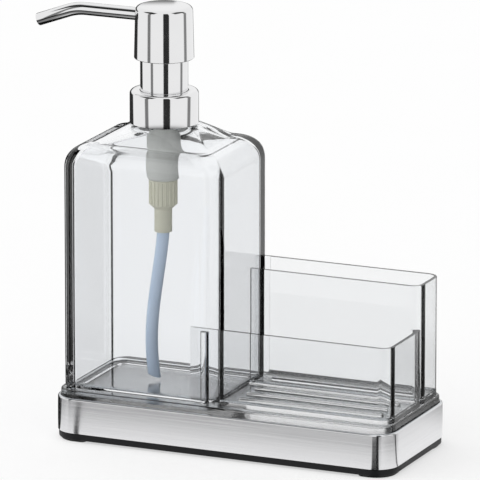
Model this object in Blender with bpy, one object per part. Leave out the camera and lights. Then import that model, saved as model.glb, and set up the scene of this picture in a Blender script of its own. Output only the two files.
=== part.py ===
# Sink organizer: a stainless tray on a black base, a clear two-compartment organizer that drops into it,
# and a square-shouldered glass soap bottle with a steel pump, seated beside the compartments.
# Metres, +Z up, +Y to the back. The origin is the bottom centre of the whole object's box.

import bpy
import bmesh
from math import cos, pi, radians, sin, sqrt, tan
from mathutils import Matrix, Vector

# Fits
SEAT_GAP = 0.0003          # between pieces that touch
RUN_GAP = 0.0003           # between pieces that slide or turn in each other
WELD = 0.000004            # vertices this close are one
OVERRUN = 0.004            # how far a cutter reaches past what it cuts

# Tray: a pressed steel cover with a shallow dish in its top
TRAY_LENGTH = 0.200
TRAY_DEPTH = 0.085
TRAY_CORNER = 0.013
STEEL_FOOT_Z = 0.005
STEEL_HEIGHT = 0.0195
STEEL_SHEET = 0.0008
STEEL_RIM = 0.0016         # the folded rim, two sheets thick
RIM_ROUND = 0.0016
DISH_DEPTH = 0.004

# Black base under the steel, and its corner feet
BASE_FOOT_Z = 0.0012
BASE_SKIRT_INSET = 0.0006
BASE_WALL = 0.0024
BASE_PLATE = 0.0020
BASE_RIB = 0.0018
BASE_RIB_HEIGHT = 0.0040   # ribs across the base, hanging from its top plate
BASE_RIBS = 3
BASE_POST = 0.0225         # side of the solid corner posts that hold the feet
FOOT_SIDE = 0.0180
FOOT_INSET = 0.0018
FOOT_HEIGHT = 0.0026
FOOT_CORNER = 0.003

# Clear organizer: slab, two compartments and the wings that hug the bottle
SLAB_PROUD = 0.004         # how far the slab stands above the steel rim
SLAB_ROUND = 0.0012
RECESS_FLOOR = 0.0042      # slab left under the bottle
FLOOR_LIFT = 0.0015        # compartment floor above the slab
WALL = 0.0020
WALL_INSET_FRONT = 0.0068  # walls' outer faces in from the tray's front and back
WALL_INSET_END = 0.0029    # and in from its right end
WALL_CORNER = 0.0065
WING_CORNER = 0.0150       # radius of that taper
FRONT_WING_START = 0.0861  # from the tray's left end to where the wings begin to taper
REAR_WING_START = 0.0920
PARTITION_SHARE = 0.5765    # of the tray's depth, from its front to the partition
FRONT_RIM_Z = 0.0707
REAR_RIM_Z = 0.0950
FLOOR_RIB_WIDTH = 0.0040
FLOOR_RIB_HEIGHT = 0.0018
FLOOR_RIB_END_GAP = 0.0070
FLOOR_RIB_END_SHARE = 0.96   # of half its width: the radius of a rib's ends
FOOT_FILLET = 0.0022       # inside, where the walls meet the compartment floors
FLOOR_RIB_PITCH = 0.0110
FRONT_RIBS = 3
REAR_RIBS = 1

# Bottle
PUMP_FROM_LEFT = 0.0494    # from the tray's left end to the bottle's and pump's axis
BOTTLE_LENGTH = 0.0920
BOTTLE_FROM_EDGE = 0.0085  # its front and back faces in from the tray's edges
BOTTLE_CORNER = 0.0055
BOTTLE_WALL = 0.0045
BOTTLE_FLOOR = 0.0034
BOTTLE_INNER_CORNER = 0.0040
BOTTLE_HEEL_INSET = 0.0025
BOTTLE_HEEL_HEIGHT = 0.0050
BOTTLE_PUSH_UP = 0.0010    # how far its underside is domed
PUSH_UP_RING = 0.0110
SHOULDER_START = 0.1257    # above the bottle's foot, where its sides begin to round over
SHOULDER_RADIUS = 0.0130
TOP_EDGE_ROUND = 0.0060    # rounding of the front and back top edges
ROOF_RISE = 0.0085
ROOF_RING = 0.0188         # radius where the sloping roof ends
NECK_ROOT_RISE = 0.0014
NECK_RADIUS = 0.0130
NECK_BORE = 0.0109
NECK_HEIGHT = 0.0110
INNER_ROOF_DROP = 0.0042
BOTTLE_TO_PARTITION = 0.0020

# Pump, seen from the neck upwards
GASKET_THICKNESS = 0.0012
GASKET_BAND = 0.0017
FLANGE_THICKNESS = 0.0012
CLOSURE_WEB = 0.0024
CLOSURE_WALL = 0.0017
CLOSURE_SKIRT = 0.0010
CLOSURE_HOLE = 0.0110
COLLAR_RADIUS = 0.01875
COLLAR_SHEET = 0.0006
COLLAR_HEIGHT = 0.0179
COLLAR_ROUND = 0.0021
SLEEVE_RADIUS = 0.0130
SLEEVE_SHEET = 0.0006
SLEEVE_HEIGHT = 0.0204
CHAPLET_HEIGHT = 0.0075
CHAPLET_PLUG = 0.0068
HEAD_FOOT_RADIUS = 0.0163
HEAD_TOP_RADIUS = 0.0156
HEAD_SHEET = 0.0008
HEAD_HEIGHT = 0.0286
HEAD_OVER_SLEEVE = 0.0020  # how far the head's skirt covers the sleeve at rest
HEAD_ROUND = 0.0027
CORE_DEPTH = 0.0106
CORE_BOSS_RADIUS = 0.0065
CORE_BOSS_LENGTH = 0.0090
STEM_SOCKET_DEPTH = 0.0063
STEM_RADIUS = 0.0049
STEM_BORE = 0.0022
STEM_WAIST = 0.0036
STEM_FOOT_RADIUS = 0.0062
STEM_FOOT_HEIGHT = 0.0030
SEAL_HEIGHT = 0.0074
SEAL_GROOVE = 0.0016

# Nozzle
NOZZLE_RADIUS = 0.0035
NOZZLE_WALL = 0.0006
NOZZLE_DROP_FROM_TOP = 0.0060
NOZZLE_REACH = 0.0757      # from the pump's axis to the tip's furthest point
NOZZLE_DROOP = radians(20.3)
NOZZLE_BEND = 0.0300
NOZZLE_TIP_RUN = 0.0190    # straight length after the bend
NOZZLE_ROOT = 0.0040       # how far from the axis its inner end stops

# Pump, inside the bottle
BARREL_RADIUS = 0.00885
BARREL_BORE = 0.0080
BARREL_CHAMFER = 0.0005
BARREL_LENGTH = 0.0443     # below its flange
SPIGOT_LENGTH = 0.0040
SPIGOT_BORE = 0.0064
CONNECTOR_RADIUS = 0.00785
CONNECTOR_WIDE_LENGTH = 0.0140
CONNECTOR_TAPER = 0.0024
CONNECTOR_NARROW_RADIUS = 0.00485
CONNECTOR_NARROW_LENGTH = 0.0129
SPRING_FLOOR_DEPTH = 0.0025  # below the connector's shoulder
BALL_CHAMBER_DEPTH = 0.0055
SEAT_BORE = 0.0018
SEAT_LENGTH = 0.0030
BALL_RADIUS = 0.0026
SPRING_RADIUS = 0.0053
SPRING_WIRE = 0.00045
SPRING_TURNS = 7
SPRING_SIDES = 8
TUBE_RADIUS = 0.0034
TUBE_WALL = 0.0008
TUBE_SWAY = 0.0070
TUBE_CUT_SLANT = radians(35)
SWAY_PEAK_SHARE = 0.75     # how far down the free length the sway is widest
SWAY_POWER = 1.3

# Facets
CORNER_STEPS = 6
SHOULDER_STEPS = 6
ROUND_STEPS = 4
TURN_STEPS = 48
INNER_TURN_STEPS = 32
TUBE_STEPS = 22
TUBE_SIDES = 16
SPRING_POINTS_PER_TURN = 10

# Levels and places that follow from the sizes
OVERALL_LENGTH = TRAY_LENGTH + NOZZLE_REACH - PUMP_FROM_LEFT
TRAY_LEFT = NOZZLE_REACH - PUMP_FROM_LEFT - OVERALL_LENGTH / 2
TRAY_RIGHT = TRAY_LEFT + TRAY_LENGTH
TRAY_FRONT = -TRAY_DEPTH / 2
TRAY_BACK = TRAY_DEPTH / 2
PUMP_X = TRAY_LEFT + PUMP_FROM_LEFT
STEEL_TOP_Z = STEEL_FOOT_Z + STEEL_HEIGHT
DISH_Z = STEEL_TOP_Z - DISH_DEPTH
SLAB_INSET = STEEL_RIM + SEAT_GAP
SLAB_FOOT_Z = DISH_Z + SEAT_GAP
SLAB_TOP_Z = STEEL_TOP_Z + SLAB_PROUD
COMPARTMENT_FLOOR_Z = SLAB_TOP_Z + FLOOR_LIFT
BOTTLE_DEPTH = TRAY_DEPTH - 2 * BOTTLE_FROM_EDGE
BOTTLE_FOOT_Z = SLAB_FOOT_Z + RECESS_FLOOR + SEAT_GAP
BOTTLE_RIGHT = PUMP_X + BOTTLE_LENGTH / 2
COMPARTMENT_LEFT = BOTTLE_RIGHT + BOTTLE_TO_PARTITION
WALL_RIGHT = TRAY_RIGHT - WALL_INSET_END
WALL_FRONT = TRAY_FRONT + WALL_INSET_FRONT
WALL_BACK = TRAY_BACK - WALL_INSET_FRONT
PARTITION_FRONT = TRAY_FRONT + PARTITION_SHARE * TRAY_DEPTH
PARTITION_BACK = PARTITION_FRONT + WALL
SHOULDER_Z = BOTTLE_FOOT_Z + SHOULDER_START
SHOULDER_TOP_Z = SHOULDER_Z + SHOULDER_RADIUS
ROOF_TOP_Z = SHOULDER_TOP_Z + ROOF_RISE
NECK_ROOT_Z = ROOF_TOP_Z + NECK_ROOT_RISE
NECK_TOP_Z = NECK_ROOT_Z + NECK_HEIGHT
GASKET_Z = NECK_TOP_Z + SEAT_GAP
FLANGE_Z = GASKET_Z + GASKET_THICKNESS + SEAT_GAP
FLANGE_TOP_Z = FLANGE_Z + FLANGE_THICKNESS
WEB_Z = FLANGE_TOP_Z + SEAT_GAP
WEB_TOP_Z = WEB_Z + CLOSURE_WEB
COLLAR_TOP_Z = WEB_TOP_Z + SEAT_GAP + COLLAR_SHEET
COLLAR_FOOT_Z = COLLAR_TOP_Z - COLLAR_HEIGHT
SLEEVE_Z = WEB_TOP_Z + SEAT_GAP
SLEEVE_TOP_Z = SLEEVE_Z + SLEEVE_HEIGHT
CHAPLET_TOP_Z = SLEEVE_Z + CHAPLET_HEIGHT
HEAD_FOOT_Z = SLEEVE_TOP_Z - HEAD_OVER_SLEEVE
HEAD_TOP_Z = HEAD_FOOT_Z + HEAD_HEIGHT
CORE_TOP_Z = HEAD_TOP_Z - HEAD_SHEET - SEAT_GAP
CORE_Z = CORE_TOP_Z - CORE_DEPTH
BOSS_Z = CORE_Z - CORE_BOSS_LENGTH
STEM_TOP_Z = BOSS_Z + STEM_SOCKET_DEPTH - SEAT_GAP
NOZZLE_Z = HEAD_TOP_Z - NOZZLE_DROP_FROM_TOP
PLUG_Z = FLANGE_TOP_Z + SEAT_GAP - CHAPLET_PLUG
SEAL_TOP_Z = PLUG_Z - SEAT_GAP
SEAL_Z = SEAL_TOP_Z - SEAL_HEIGHT
STEM_FOOT_TOP_Z = SEAL_Z - SEAT_GAP
STEM_FOOT_Z = STEM_FOOT_TOP_Z - STEM_FOOT_HEIGHT
BARREL_FOOT_Z = FLANGE_TOP_Z - FLANGE_THICKNESS - BARREL_LENGTH
CONNECTOR_SHOULDER_Z = BARREL_FOOT_Z - SEAT_GAP
SPRING_FLOOR_Z = CONNECTOR_SHOULDER_Z - SPRING_FLOOR_DEPTH
SEAT_TOP_Z = SPRING_FLOOR_Z - BALL_CHAMBER_DEPTH
SOCKET_TOP_Z = SEAT_TOP_Z - SEAT_LENGTH
TAPER_TOP_Z = CONNECTOR_SHOULDER_Z - CONNECTOR_WIDE_LENGTH
TAPER_FOOT_Z = TAPER_TOP_Z - CONNECTOR_TAPER
CONNECTOR_FOOT_Z = TAPER_FOOT_Z - CONNECTOR_NARROW_LENGTH
BALL_Z = SEAT_TOP_Z + sqrt(BALL_RADIUS ** 2 - SEAT_BORE ** 2) + RUN_GAP
TUBE_TOP_Z = SOCKET_TOP_Z - SEAT_GAP
INNER_FLOOR_Z = BOTTLE_FOOT_Z + BOTTLE_FLOOR
TUBE_END_Z = INNER_FLOOR_Z + SEAT_GAP + TUBE_RADIUS * tan(TUBE_CUT_SLANT) / 2


def clear_scene():
    for existing in list(bpy.data.objects):
        bpy.data.objects.remove(existing, do_unlink=True)


def material(name, colour, roughness, metallic=0.0, alpha=1.0, transmission=0.0):
    made = bpy.data.materials.new(name)
    made.use_nodes = True
    shader = made.node_tree.nodes["Principled BSDF"]
    shader.inputs["Base Color"].default_value = (*colour, 1.0)
    shader.inputs["Roughness"].default_value = roughness
    shader.inputs["Metallic"].default_value = metallic
    shader.inputs["Alpha"].default_value = alpha
    shader.inputs["Transmission Weight"].default_value = transmission
    return made


def finish_object(name, bm, made_material, smooth=True):
    bmesh.ops.remove_doubles(bm, verts=bm.verts, dist=WELD)
    bmesh.ops.recalc_face_normals(bm, faces=bm.faces)
    mesh = bpy.data.meshes.new(name)
    bm.to_mesh(mesh)
    bm.free()
    made = bpy.data.objects.new(name, mesh)
    bpy.context.scene.collection.objects.link(made)
    if made_material is not None:
        mesh.materials.append(made_material)
    if smooth:
        mesh.shade_smooth()
        mesh.set_sharp_from_angle(angle=radians(35))
    return made


def as_cutter(helper):
    helper.hide_render = True
    helper.display_type = "WIRE"
    return helper


def combine(target, helper, operation):
    modifier = target.modifiers.new(operation.title() + " " + helper.name, "BOOLEAN")
    modifier.operation = operation
    modifier.solver = "EXACT"
    modifier.object = as_cutter(helper)


def rounded(left, right, front, back, radii, steps=CORNER_STEPS):
    """Outline of a rectangle with rounded corners: front right, back right, back left, front left."""
    corners = ((right, front, -1), (right, back, 0), (left, back, 1), (left, front, 2))
    inward = ((-1, 1), (-1, -1), (1, -1), (1, 1))
    points = []
    for (x, y, quarter), (in_x, in_y), radius in zip(corners, inward, radii):
        centre = Vector((x + in_x * radius, y + in_y * radius))
        for step in range(steps + 1):
            angle = (quarter + step / steps) * pi / 2
            points.append(centre + radius * Vector((cos(angle), sin(angle))))
    return points


def stack(name, levels, made_material, smooth=True):
    """One closed body through (outline, z) rings of as many points each, capped at its first and last."""
    bm = bmesh.new()
    rings = [[bm.verts.new((p.x, p.y, z)) for p in outline] for outline, z in levels]
    for below, above in zip(rings, rings[1:]):
        for i in range(len(below)):
            j = (i + 1) % len(below)
            bm.faces.new((below[i], below[j], above[j], above[i]))
    bm.faces.new(reversed(rings[0]))
    bm.faces.new(rings[-1])
    return finish_object(name, bm, made_material, smooth)


def slab_between(name, outline, low, high, made_material=None, smooth=True):
    return stack(name, ((outline, low), (outline, high)), made_material, smooth)


def turned(name, profile, made_material, steps=TURN_STEPS):
    """A closed profile of (radius, z) turned about the pump's axis."""
    bm = bmesh.new()
    ring = [bm.verts.new((radius, 0, z)) for radius, z in profile]
    edges = [bm.edges.new((ring[i], ring[(i + 1) % len(ring)])) for i in range(len(ring))]
    bmesh.ops.spin(
        bm, geom=ring + edges, axis=(0, 0, 1), cent=(0, 0, 0), angle=2 * pi, steps=steps, use_merge=True
    )
    made = finish_object(name, bm, made_material)
    made.location.x = PUMP_X
    return made


def arc(centre_radius, centre_z, radius, start, end, steps=ROUND_STEPS):
    """Points of a fillet in a turned profile, from one angle to another in degrees."""
    angles = [radians(start + (end - start) * step / steps) for step in range(steps + 1)]
    return [(centre_radius + radius * cos(a), centre_z + radius * sin(a)) for a in angles]


def swept(name, points, radius, made_material=None, sides=TUBE_SIDES):
    """A round bar along a path, as a mesh."""
    curve = bpy.data.curves.new(name + "_path", "CURVE")
    curve.dimensions = "3D"
    curve.bevel_depth = radius
    curve.bevel_resolution = (sides - 4) // 2
    curve.use_fill_caps = True
    spline = curve.splines.new("POLY")
    spline.points.add(len(points) - 1)
    for point, place in zip(spline.points, points):
        point.co = (*place, 1)
    guide = bpy.data.objects.new(name + "_guide", curve)
    bpy.context.scene.collection.objects.link(guide)
    mesh = bpy.data.meshes.new_from_object(guide)
    bpy.data.objects.remove(guide)
    bm = bmesh.new()
    bm.from_mesh(mesh)
    bpy.data.meshes.remove(mesh)
    return finish_object(name, bm, made_material)


def hollow(bar, points, radius):
    """Bores a swept bar along its own path, with the bore reaching past both ends."""
    first, second, before_last, last = points[0], points[1], points[-2], points[-1]
    start = first + (first - second).normalized() * OVERRUN
    end = last + (last - before_last).normalized() * OVERRUN
    combine(bar, swept(bar.name + "_bore", [start, *points, end], radius), "DIFFERENCE")


def tray_outline(inset):
    corners = (TRAY_CORNER - inset,) * 4
    return rounded(TRAY_LEFT + inset, TRAY_RIGHT - inset, TRAY_FRONT + inset, TRAY_BACK - inset, corners)


def bottle_outline(half_length, half_depth, corner):
    return rounded(PUMP_X - half_length, PUMP_X + half_length, -half_depth, half_depth, (corner,) * 4)


def heel_inset(height):
    """How far the bottle's heel is drawn in at a height above its foot."""
    share = max(0, 1 - height / BOTTLE_HEEL_HEIGHT)
    return BOTTLE_HEEL_INSET * (1 - sqrt(1 - share ** 2))


def make_tray_shell(steel):
    levels = [(tray_outline(0), STEEL_FOOT_Z)]
    for step in range(ROUND_STEPS + 1):
        angle = step / ROUND_STEPS * pi / 2
        drawn_in = RIM_ROUND / 2 * (1 - cos(angle))
        levels.append((tray_outline(drawn_in), STEEL_TOP_Z - RIM_ROUND / 2 * (1 - sin(angle))))
    shell = stack("tray_shell", levels, steel)
    dish = slab_between("dish_cut", tray_outline(STEEL_RIM), DISH_Z, STEEL_TOP_Z + OVERRUN)
    combine(shell, dish, "DIFFERENCE")
    ceiling_z = DISH_Z - STEEL_SHEET
    under = slab_between("under_cut", tray_outline(STEEL_SHEET), STEEL_FOOT_Z - OVERRUN, ceiling_z)
    combine(shell, under, "DIFFERENCE")


def foot_place(right, back, grow):
    """Outline of a corner foot, or of its pocket when grown."""
    near, far = FOOT_INSET - grow, FOOT_INSET + FOOT_SIDE + grow
    x_range = (TRAY_RIGHT - far, TRAY_RIGHT - near) if right else (TRAY_LEFT + near, TRAY_LEFT + far)
    y_range = (TRAY_BACK - far, TRAY_BACK - near) if back else (TRAY_FRONT + near, TRAY_FRONT + far)
    outer = TRAY_CORNER - near
    inner = FOOT_CORNER + grow
    places = {(True, False): 0, (True, True): 1, (False, True): 2, (False, False): 3}
    radii = [outer if i == places[right, back] else inner for i in range(4)]
    return rounded(*x_range, *y_range, radii)


def make_base(black_plastic, rubber):
    fit = STEEL_SHEET + SEAT_GAP
    ledge_z = STEEL_FOOT_Z - SEAT_GAP
    top_z = DISH_Z - STEEL_SHEET - SEAT_GAP
    levels = [(tray_outline(BASE_SKIRT_INSET), BASE_FOOT_Z), (tray_outline(BASE_SKIRT_INSET), ledge_z)]
    levels += [(tray_outline(fit), ledge_z), (tray_outline(fit), top_z)]
    base = stack("tray_base", levels, black_plastic)
    ceiling_z = top_z - BASE_PLATE
    reach_x = TRAY_LENGTH / 2 - BASE_WALL - fit
    reach_y = TRAY_DEPTH / 2 - BASE_WALL - fit
    middle = (TRAY_LEFT + TRAY_RIGHT) / 2
    between_posts = TRAY_DEPTH / 2 - BASE_POST
    corners = (FOOT_CORNER,) * 4
    hollow_long = rounded(middle - reach_x, middle + reach_x, -between_posts, between_posts, corners)
    combine(base, slab_between("hollow_long", hollow_long, -OVERRUN, ceiling_z), "DIFFERENCE")
    left, right = TRAY_LEFT + BASE_POST, TRAY_RIGHT - BASE_POST
    hollow_wide = rounded(left, right, -reach_y, reach_y, corners)
    combine(base, slab_between("hollow_wide", hollow_wide, -OVERRUN, ceiling_z), "DIFFERENCE")
    rib_z = ceiling_z - BASE_RIB_HEIGHT
    overlap_z = ceiling_z + BASE_PLATE / 2
    half = BASE_RIB / 2
    for number in range(BASE_RIBS):
        x = left + (right - left) * (number + 1) / (BASE_RIBS + 1)
        rib = rounded(x - half, x + half, -reach_y - half, reach_y + half, (half / 2,) * 4)
        combine(base, slab_between(f"base_rib_{number}", rib, rib_z, overlap_z), "UNION")
    for right in (False, True):
        for back in (False, True):
            name = ("back" if back else "front") + ("_right" if right else "_left")
            pocket = slab_between(
                f"{name}_pocket", foot_place(right, back, SEAT_GAP), -OVERRUN, FOOT_HEIGHT + SEAT_GAP
            )
            combine(base, pocket, "DIFFERENCE")
            slab_between(f"foot_{name}", foot_place(right, back, 0), 0, FOOT_HEIGHT, rubber)


def make_organizer(clear_plastic):
    box_foot_z = SLAB_TOP_Z - SLAB_ROUND - FLOOR_LIFT
    front_left = TRAY_LEFT + FRONT_WING_START - WING_CORNER
    rear_left = TRAY_LEFT + REAR_WING_START - WING_CORNER
    front_box = rounded(
        front_left, WALL_RIGHT, WALL_FRONT, PARTITION_BACK, (WALL_CORNER, WALL, WALL, WING_CORNER)
    )
    walls = slab_between("organizer_insert", front_box, box_foot_z, FRONT_RIM_Z, clear_plastic)
    rear_box = rounded(
        rear_left, WALL_RIGHT, PARTITION_FRONT, WALL_BACK, (WALL_CORNER, WALL_CORNER, WING_CORNER, WALL)
    )
    combine(walls, slab_between("rear_box", rear_box, box_foot_z, REAR_RIM_Z), "UNION")
    pocket_left = front_left - OVERRUN
    inner_corner = WALL_CORNER - WALL
    pockets = (
        ("front_pocket", WALL_FRONT + WALL, PARTITION_FRONT),
        ("rear_pocket", PARTITION_BACK, WALL_BACK - WALL),
    )
    for name, front, back in pockets:
        levels = []
        for step in range(ROUND_STEPS + 1):
            angle = step / ROUND_STEPS * pi / 2
            narrowed = FOOT_FILLET * (1 - sin(angle))
            outline = rounded(
                pocket_left,
                WALL_RIGHT - WALL - narrowed,
                front + narrowed,
                back - narrowed,
                (inner_corner - narrowed,) * 4,
            )
            levels.append((outline, COMPARTMENT_FLOOR_Z + FOOT_FILLET * (1 - cos(angle))))
        levels.append((outline, REAR_RIM_Z + OVERRUN))
        combine(walls, stack(name, levels, None), "DIFFERENCE")
    half_space = BOTTLE_DEPTH / 2 + RUN_GAP
    space = rounded(pocket_left - OVERRUN, COMPARTMENT_LEFT, -half_space, half_space, (SEAT_GAP,) * 4)
    cutter = slab_between("bottle_space", space, box_foot_z - OVERRUN, REAR_RIM_Z + OVERRUN)
    combine(walls, cutter, "DIFFERENCE")
    levels = [(tray_outline(SLAB_INSET), SLAB_FOOT_Z)]
    for step in range(ROUND_STEPS + 1):
        angle = step / ROUND_STEPS * pi / 2
        drawn_in = SLAB_INSET + SLAB_ROUND * (1 - cos(angle))
        levels.append((tray_outline(drawn_in), SLAB_TOP_Z - SLAB_ROUND * (1 - sin(angle))))
    combine(walls, stack("slab", levels, None), "UNION")
    grow = SEAT_GAP - heel_inset(SLAB_TOP_Z - BOTTLE_FOOT_Z)
    recess = bottle_outline(BOTTLE_LENGTH / 2 + grow, BOTTLE_DEPTH / 2 + grow, BOTTLE_CORNER + grow)
    recess_z = SLAB_FOOT_Z + RECESS_FLOOR
    combine(walls, slab_between("bottle_recess", recess, recess_z, SLAB_TOP_Z + OVERRUN), "DIFFERENCE")
    add_floor_ribs(walls)


def add_floor_ribs(walls):
    left = COMPARTMENT_LEFT + FLOOR_RIB_END_GAP
    right = WALL_RIGHT - WALL - FLOOR_RIB_END_GAP
    compartments = (
        ("front", WALL_FRONT + WALL, PARTITION_FRONT, FRONT_RIBS),
        ("rear", PARTITION_BACK, WALL_BACK - WALL, REAR_RIBS),
    )
    for name, front, back, count in compartments:
        middle = (front + back) / 2
        for number in range(count):
            y = middle + (number - (count - 1) / 2) * FLOOR_RIB_PITCH
            half = FLOOR_RIB_WIDTH / 2
            outline = rounded(left, right, y - half, y + half, (half * FLOOR_RIB_END_SHARE,) * 4)
            rib = slab_between(
                f"{name}_rib_{number}", outline, SLAB_TOP_Z, COMPARTMENT_FLOOR_Z + FLOOR_RIB_HEIGHT
            )
            combine(walls, rib, "UNION")


def bottle_levels():
    """Rings of the bottle: its underside, up its outside, over the lip and down its inside to the floor."""
    half_length, half_depth = BOTTLE_LENGTH / 2, BOTTLE_DEPTH / 2
    levels = []
    deep = PUSH_UP_RING
    domed = bottle_outline(half_length - deep, half_depth - deep, BOTTLE_CORNER)
    levels.append((domed, BOTTLE_FOOT_Z + BOTTLE_PUSH_UP))
    shallow = (PUSH_UP_RING + BOTTLE_HEEL_INSET) / 2
    resting = bottle_outline(half_length - shallow, half_depth - shallow, BOTTLE_CORNER)
    levels.append((resting, BOTTLE_FOOT_Z))
    for step in range(ROUND_STEPS + 1):
        height = BOTTLE_HEEL_HEIGHT * (step / ROUND_STEPS) ** 2
        inset = heel_inset(height)
        outline = bottle_outline(half_length - inset, half_depth - inset, BOTTLE_CORNER)
        levels.append((outline, BOTTLE_FOOT_Z + height))
    for step in range(SHOULDER_STEPS + 1):
        angle = step / SHOULDER_STEPS * pi / 2
        z = SHOULDER_Z + SHOULDER_RADIUS * sin(angle)
        length = half_length - SHOULDER_RADIUS * (1 - cos(angle))
        depth = half_depth - edge_inset(z, SHOULDER_TOP_Z, TOP_EDGE_ROUND)
        levels.append((bottle_outline(length, depth, BOTTLE_CORNER), z))
    levels.append((bottle_outline(ROOF_RING, ROOF_RING, ROOF_RING), ROOF_TOP_Z))
    levels.append((bottle_outline(NECK_RADIUS, NECK_RADIUS, NECK_RADIUS), NECK_ROOT_Z))
    levels.append((bottle_outline(NECK_RADIUS, NECK_RADIUS, NECK_RADIUS), NECK_TOP_Z))
    levels.append((bottle_outline(NECK_BORE, NECK_BORE, NECK_BORE), NECK_TOP_Z))
    levels.append((bottle_outline(NECK_BORE, NECK_BORE, NECK_BORE), NECK_ROOT_Z - NECK_ROOT_RISE))
    inner_ring = ROOF_RING - BOTTLE_WALL
    levels.append((bottle_outline(inner_ring, inner_ring, inner_ring), ROOF_TOP_Z - INNER_ROOF_DROP))
    inner_length, inner_depth = half_length - BOTTLE_WALL, half_depth - BOTTLE_WALL
    inner_radius = SHOULDER_RADIUS - BOTTLE_WALL
    inner_top_z = SHOULDER_Z + inner_radius
    for step in range(SHOULDER_STEPS, -1, -1):
        angle = step / SHOULDER_STEPS * pi / 2
        z = SHOULDER_Z + inner_radius * sin(angle)
        length = inner_length - inner_radius * (1 - cos(angle))
        depth = inner_depth - edge_inset(z, inner_top_z, TOP_EDGE_ROUND / 2)
        levels.append((bottle_outline(length, depth, BOTTLE_INNER_CORNER), z))
    for step in range(ROUND_STEPS, -1, -1):
        share = step / ROUND_STEPS
        inset = BOTTLE_HEEL_INSET * (1 - sqrt(1 - (1 - share) ** 2))
        z = INNER_FLOOR_Z + BOTTLE_HEEL_INSET * share ** 2
        levels.append((bottle_outline(inner_length - inset, inner_depth - inset, BOTTLE_INNER_CORNER), z))
    return levels


def edge_inset(z, top_z, radius):
    """How far a rounded top edge is drawn in at a height."""
    up = max(0, z - (top_z - radius))
    return radius - sqrt(max(0, radius ** 2 - up ** 2))


def make_bottle(glass, rubber):
    stack("bottle", bottle_levels(), glass)
    inner = NECK_RADIUS - GASKET_BAND
    outer = NECK_RADIUS - SEAT_GAP
    top_z = GASKET_Z + GASKET_THICKNESS
    turned("neck_gasket", ((outer, GASKET_Z), (outer, top_z), (inner, top_z), (inner, GASKET_Z)), rubber)


def make_collar(steel, plastic):
    hole = SLEEVE_RADIUS + RUN_GAP
    inner = COLLAR_RADIUS - COLLAR_SHEET
    under_z = COLLAR_TOP_Z - COLLAR_SHEET
    round_from = (COLLAR_RADIUS - COLLAR_ROUND, COLLAR_TOP_Z - COLLAR_ROUND)
    profile = [(inner, COLLAR_FOOT_Z), (COLLAR_RADIUS, COLLAR_FOOT_Z)]
    profile += arc(*round_from, COLLAR_ROUND, 0, 90)
    profile += [(hole, COLLAR_TOP_Z), (hole, under_z)]
    profile += arc(*round_from, COLLAR_ROUND - COLLAR_SHEET, 90, 0)
    turned("collar_shell", profile, steel)
    outer = inner - SEAT_GAP
    thread = NECK_RADIUS + RUN_GAP
    foot_z = COLLAR_FOOT_Z + COLLAR_SHEET
    corner = COLLAR_ROUND - COLLAR_SHEET
    closure = [
        (thread, foot_z),
        (thread + CLOSURE_WALL, foot_z),
        (thread + CLOSURE_WALL, WEB_Z),
        (outer - CLOSURE_SKIRT, WEB_Z),
        (outer - CLOSURE_SKIRT, foot_z),
        (outer, foot_z),
        (outer, WEB_TOP_Z - corner),
        (outer - corner, WEB_TOP_Z),
        (CLOSURE_HOLE, WEB_TOP_Z),
        (CLOSURE_HOLE, WEB_Z),
        (thread, WEB_Z),
    ]
    turned("closure", closure, plastic)


def make_sleeve_and_chaplet(steel, plastic):
    bore = SLEEVE_RADIUS - SLEEVE_SHEET
    turned(
        "guide_sleeve",
        ((bore, SLEEVE_Z), (SLEEVE_RADIUS, SLEEVE_Z), (SLEEVE_RADIUS, SLEEVE_TOP_Z), (bore, SLEEVE_TOP_Z)),
        steel,
    )
    stem_hole = STEM_RADIUS + RUN_GAP
    wide = bore - SEAT_GAP
    waist = CLOSURE_HOLE - RUN_GAP
    plug = BARREL_BORE - SEAT_GAP
    seat_z = FLANGE_TOP_Z + SEAT_GAP
    chaplet = [
        (stem_hole, PLUG_Z),
        (plug, PLUG_Z),
        (plug, seat_z),
        (waist, seat_z),
        (waist, SLEEVE_Z),
        (wide, SLEEVE_Z),
        (wide, CHAPLET_TOP_Z),
        (stem_hole, CHAPLET_TOP_Z),
    ]
    turned("chaplet", chaplet, plastic, INNER_TURN_STEPS)


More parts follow.
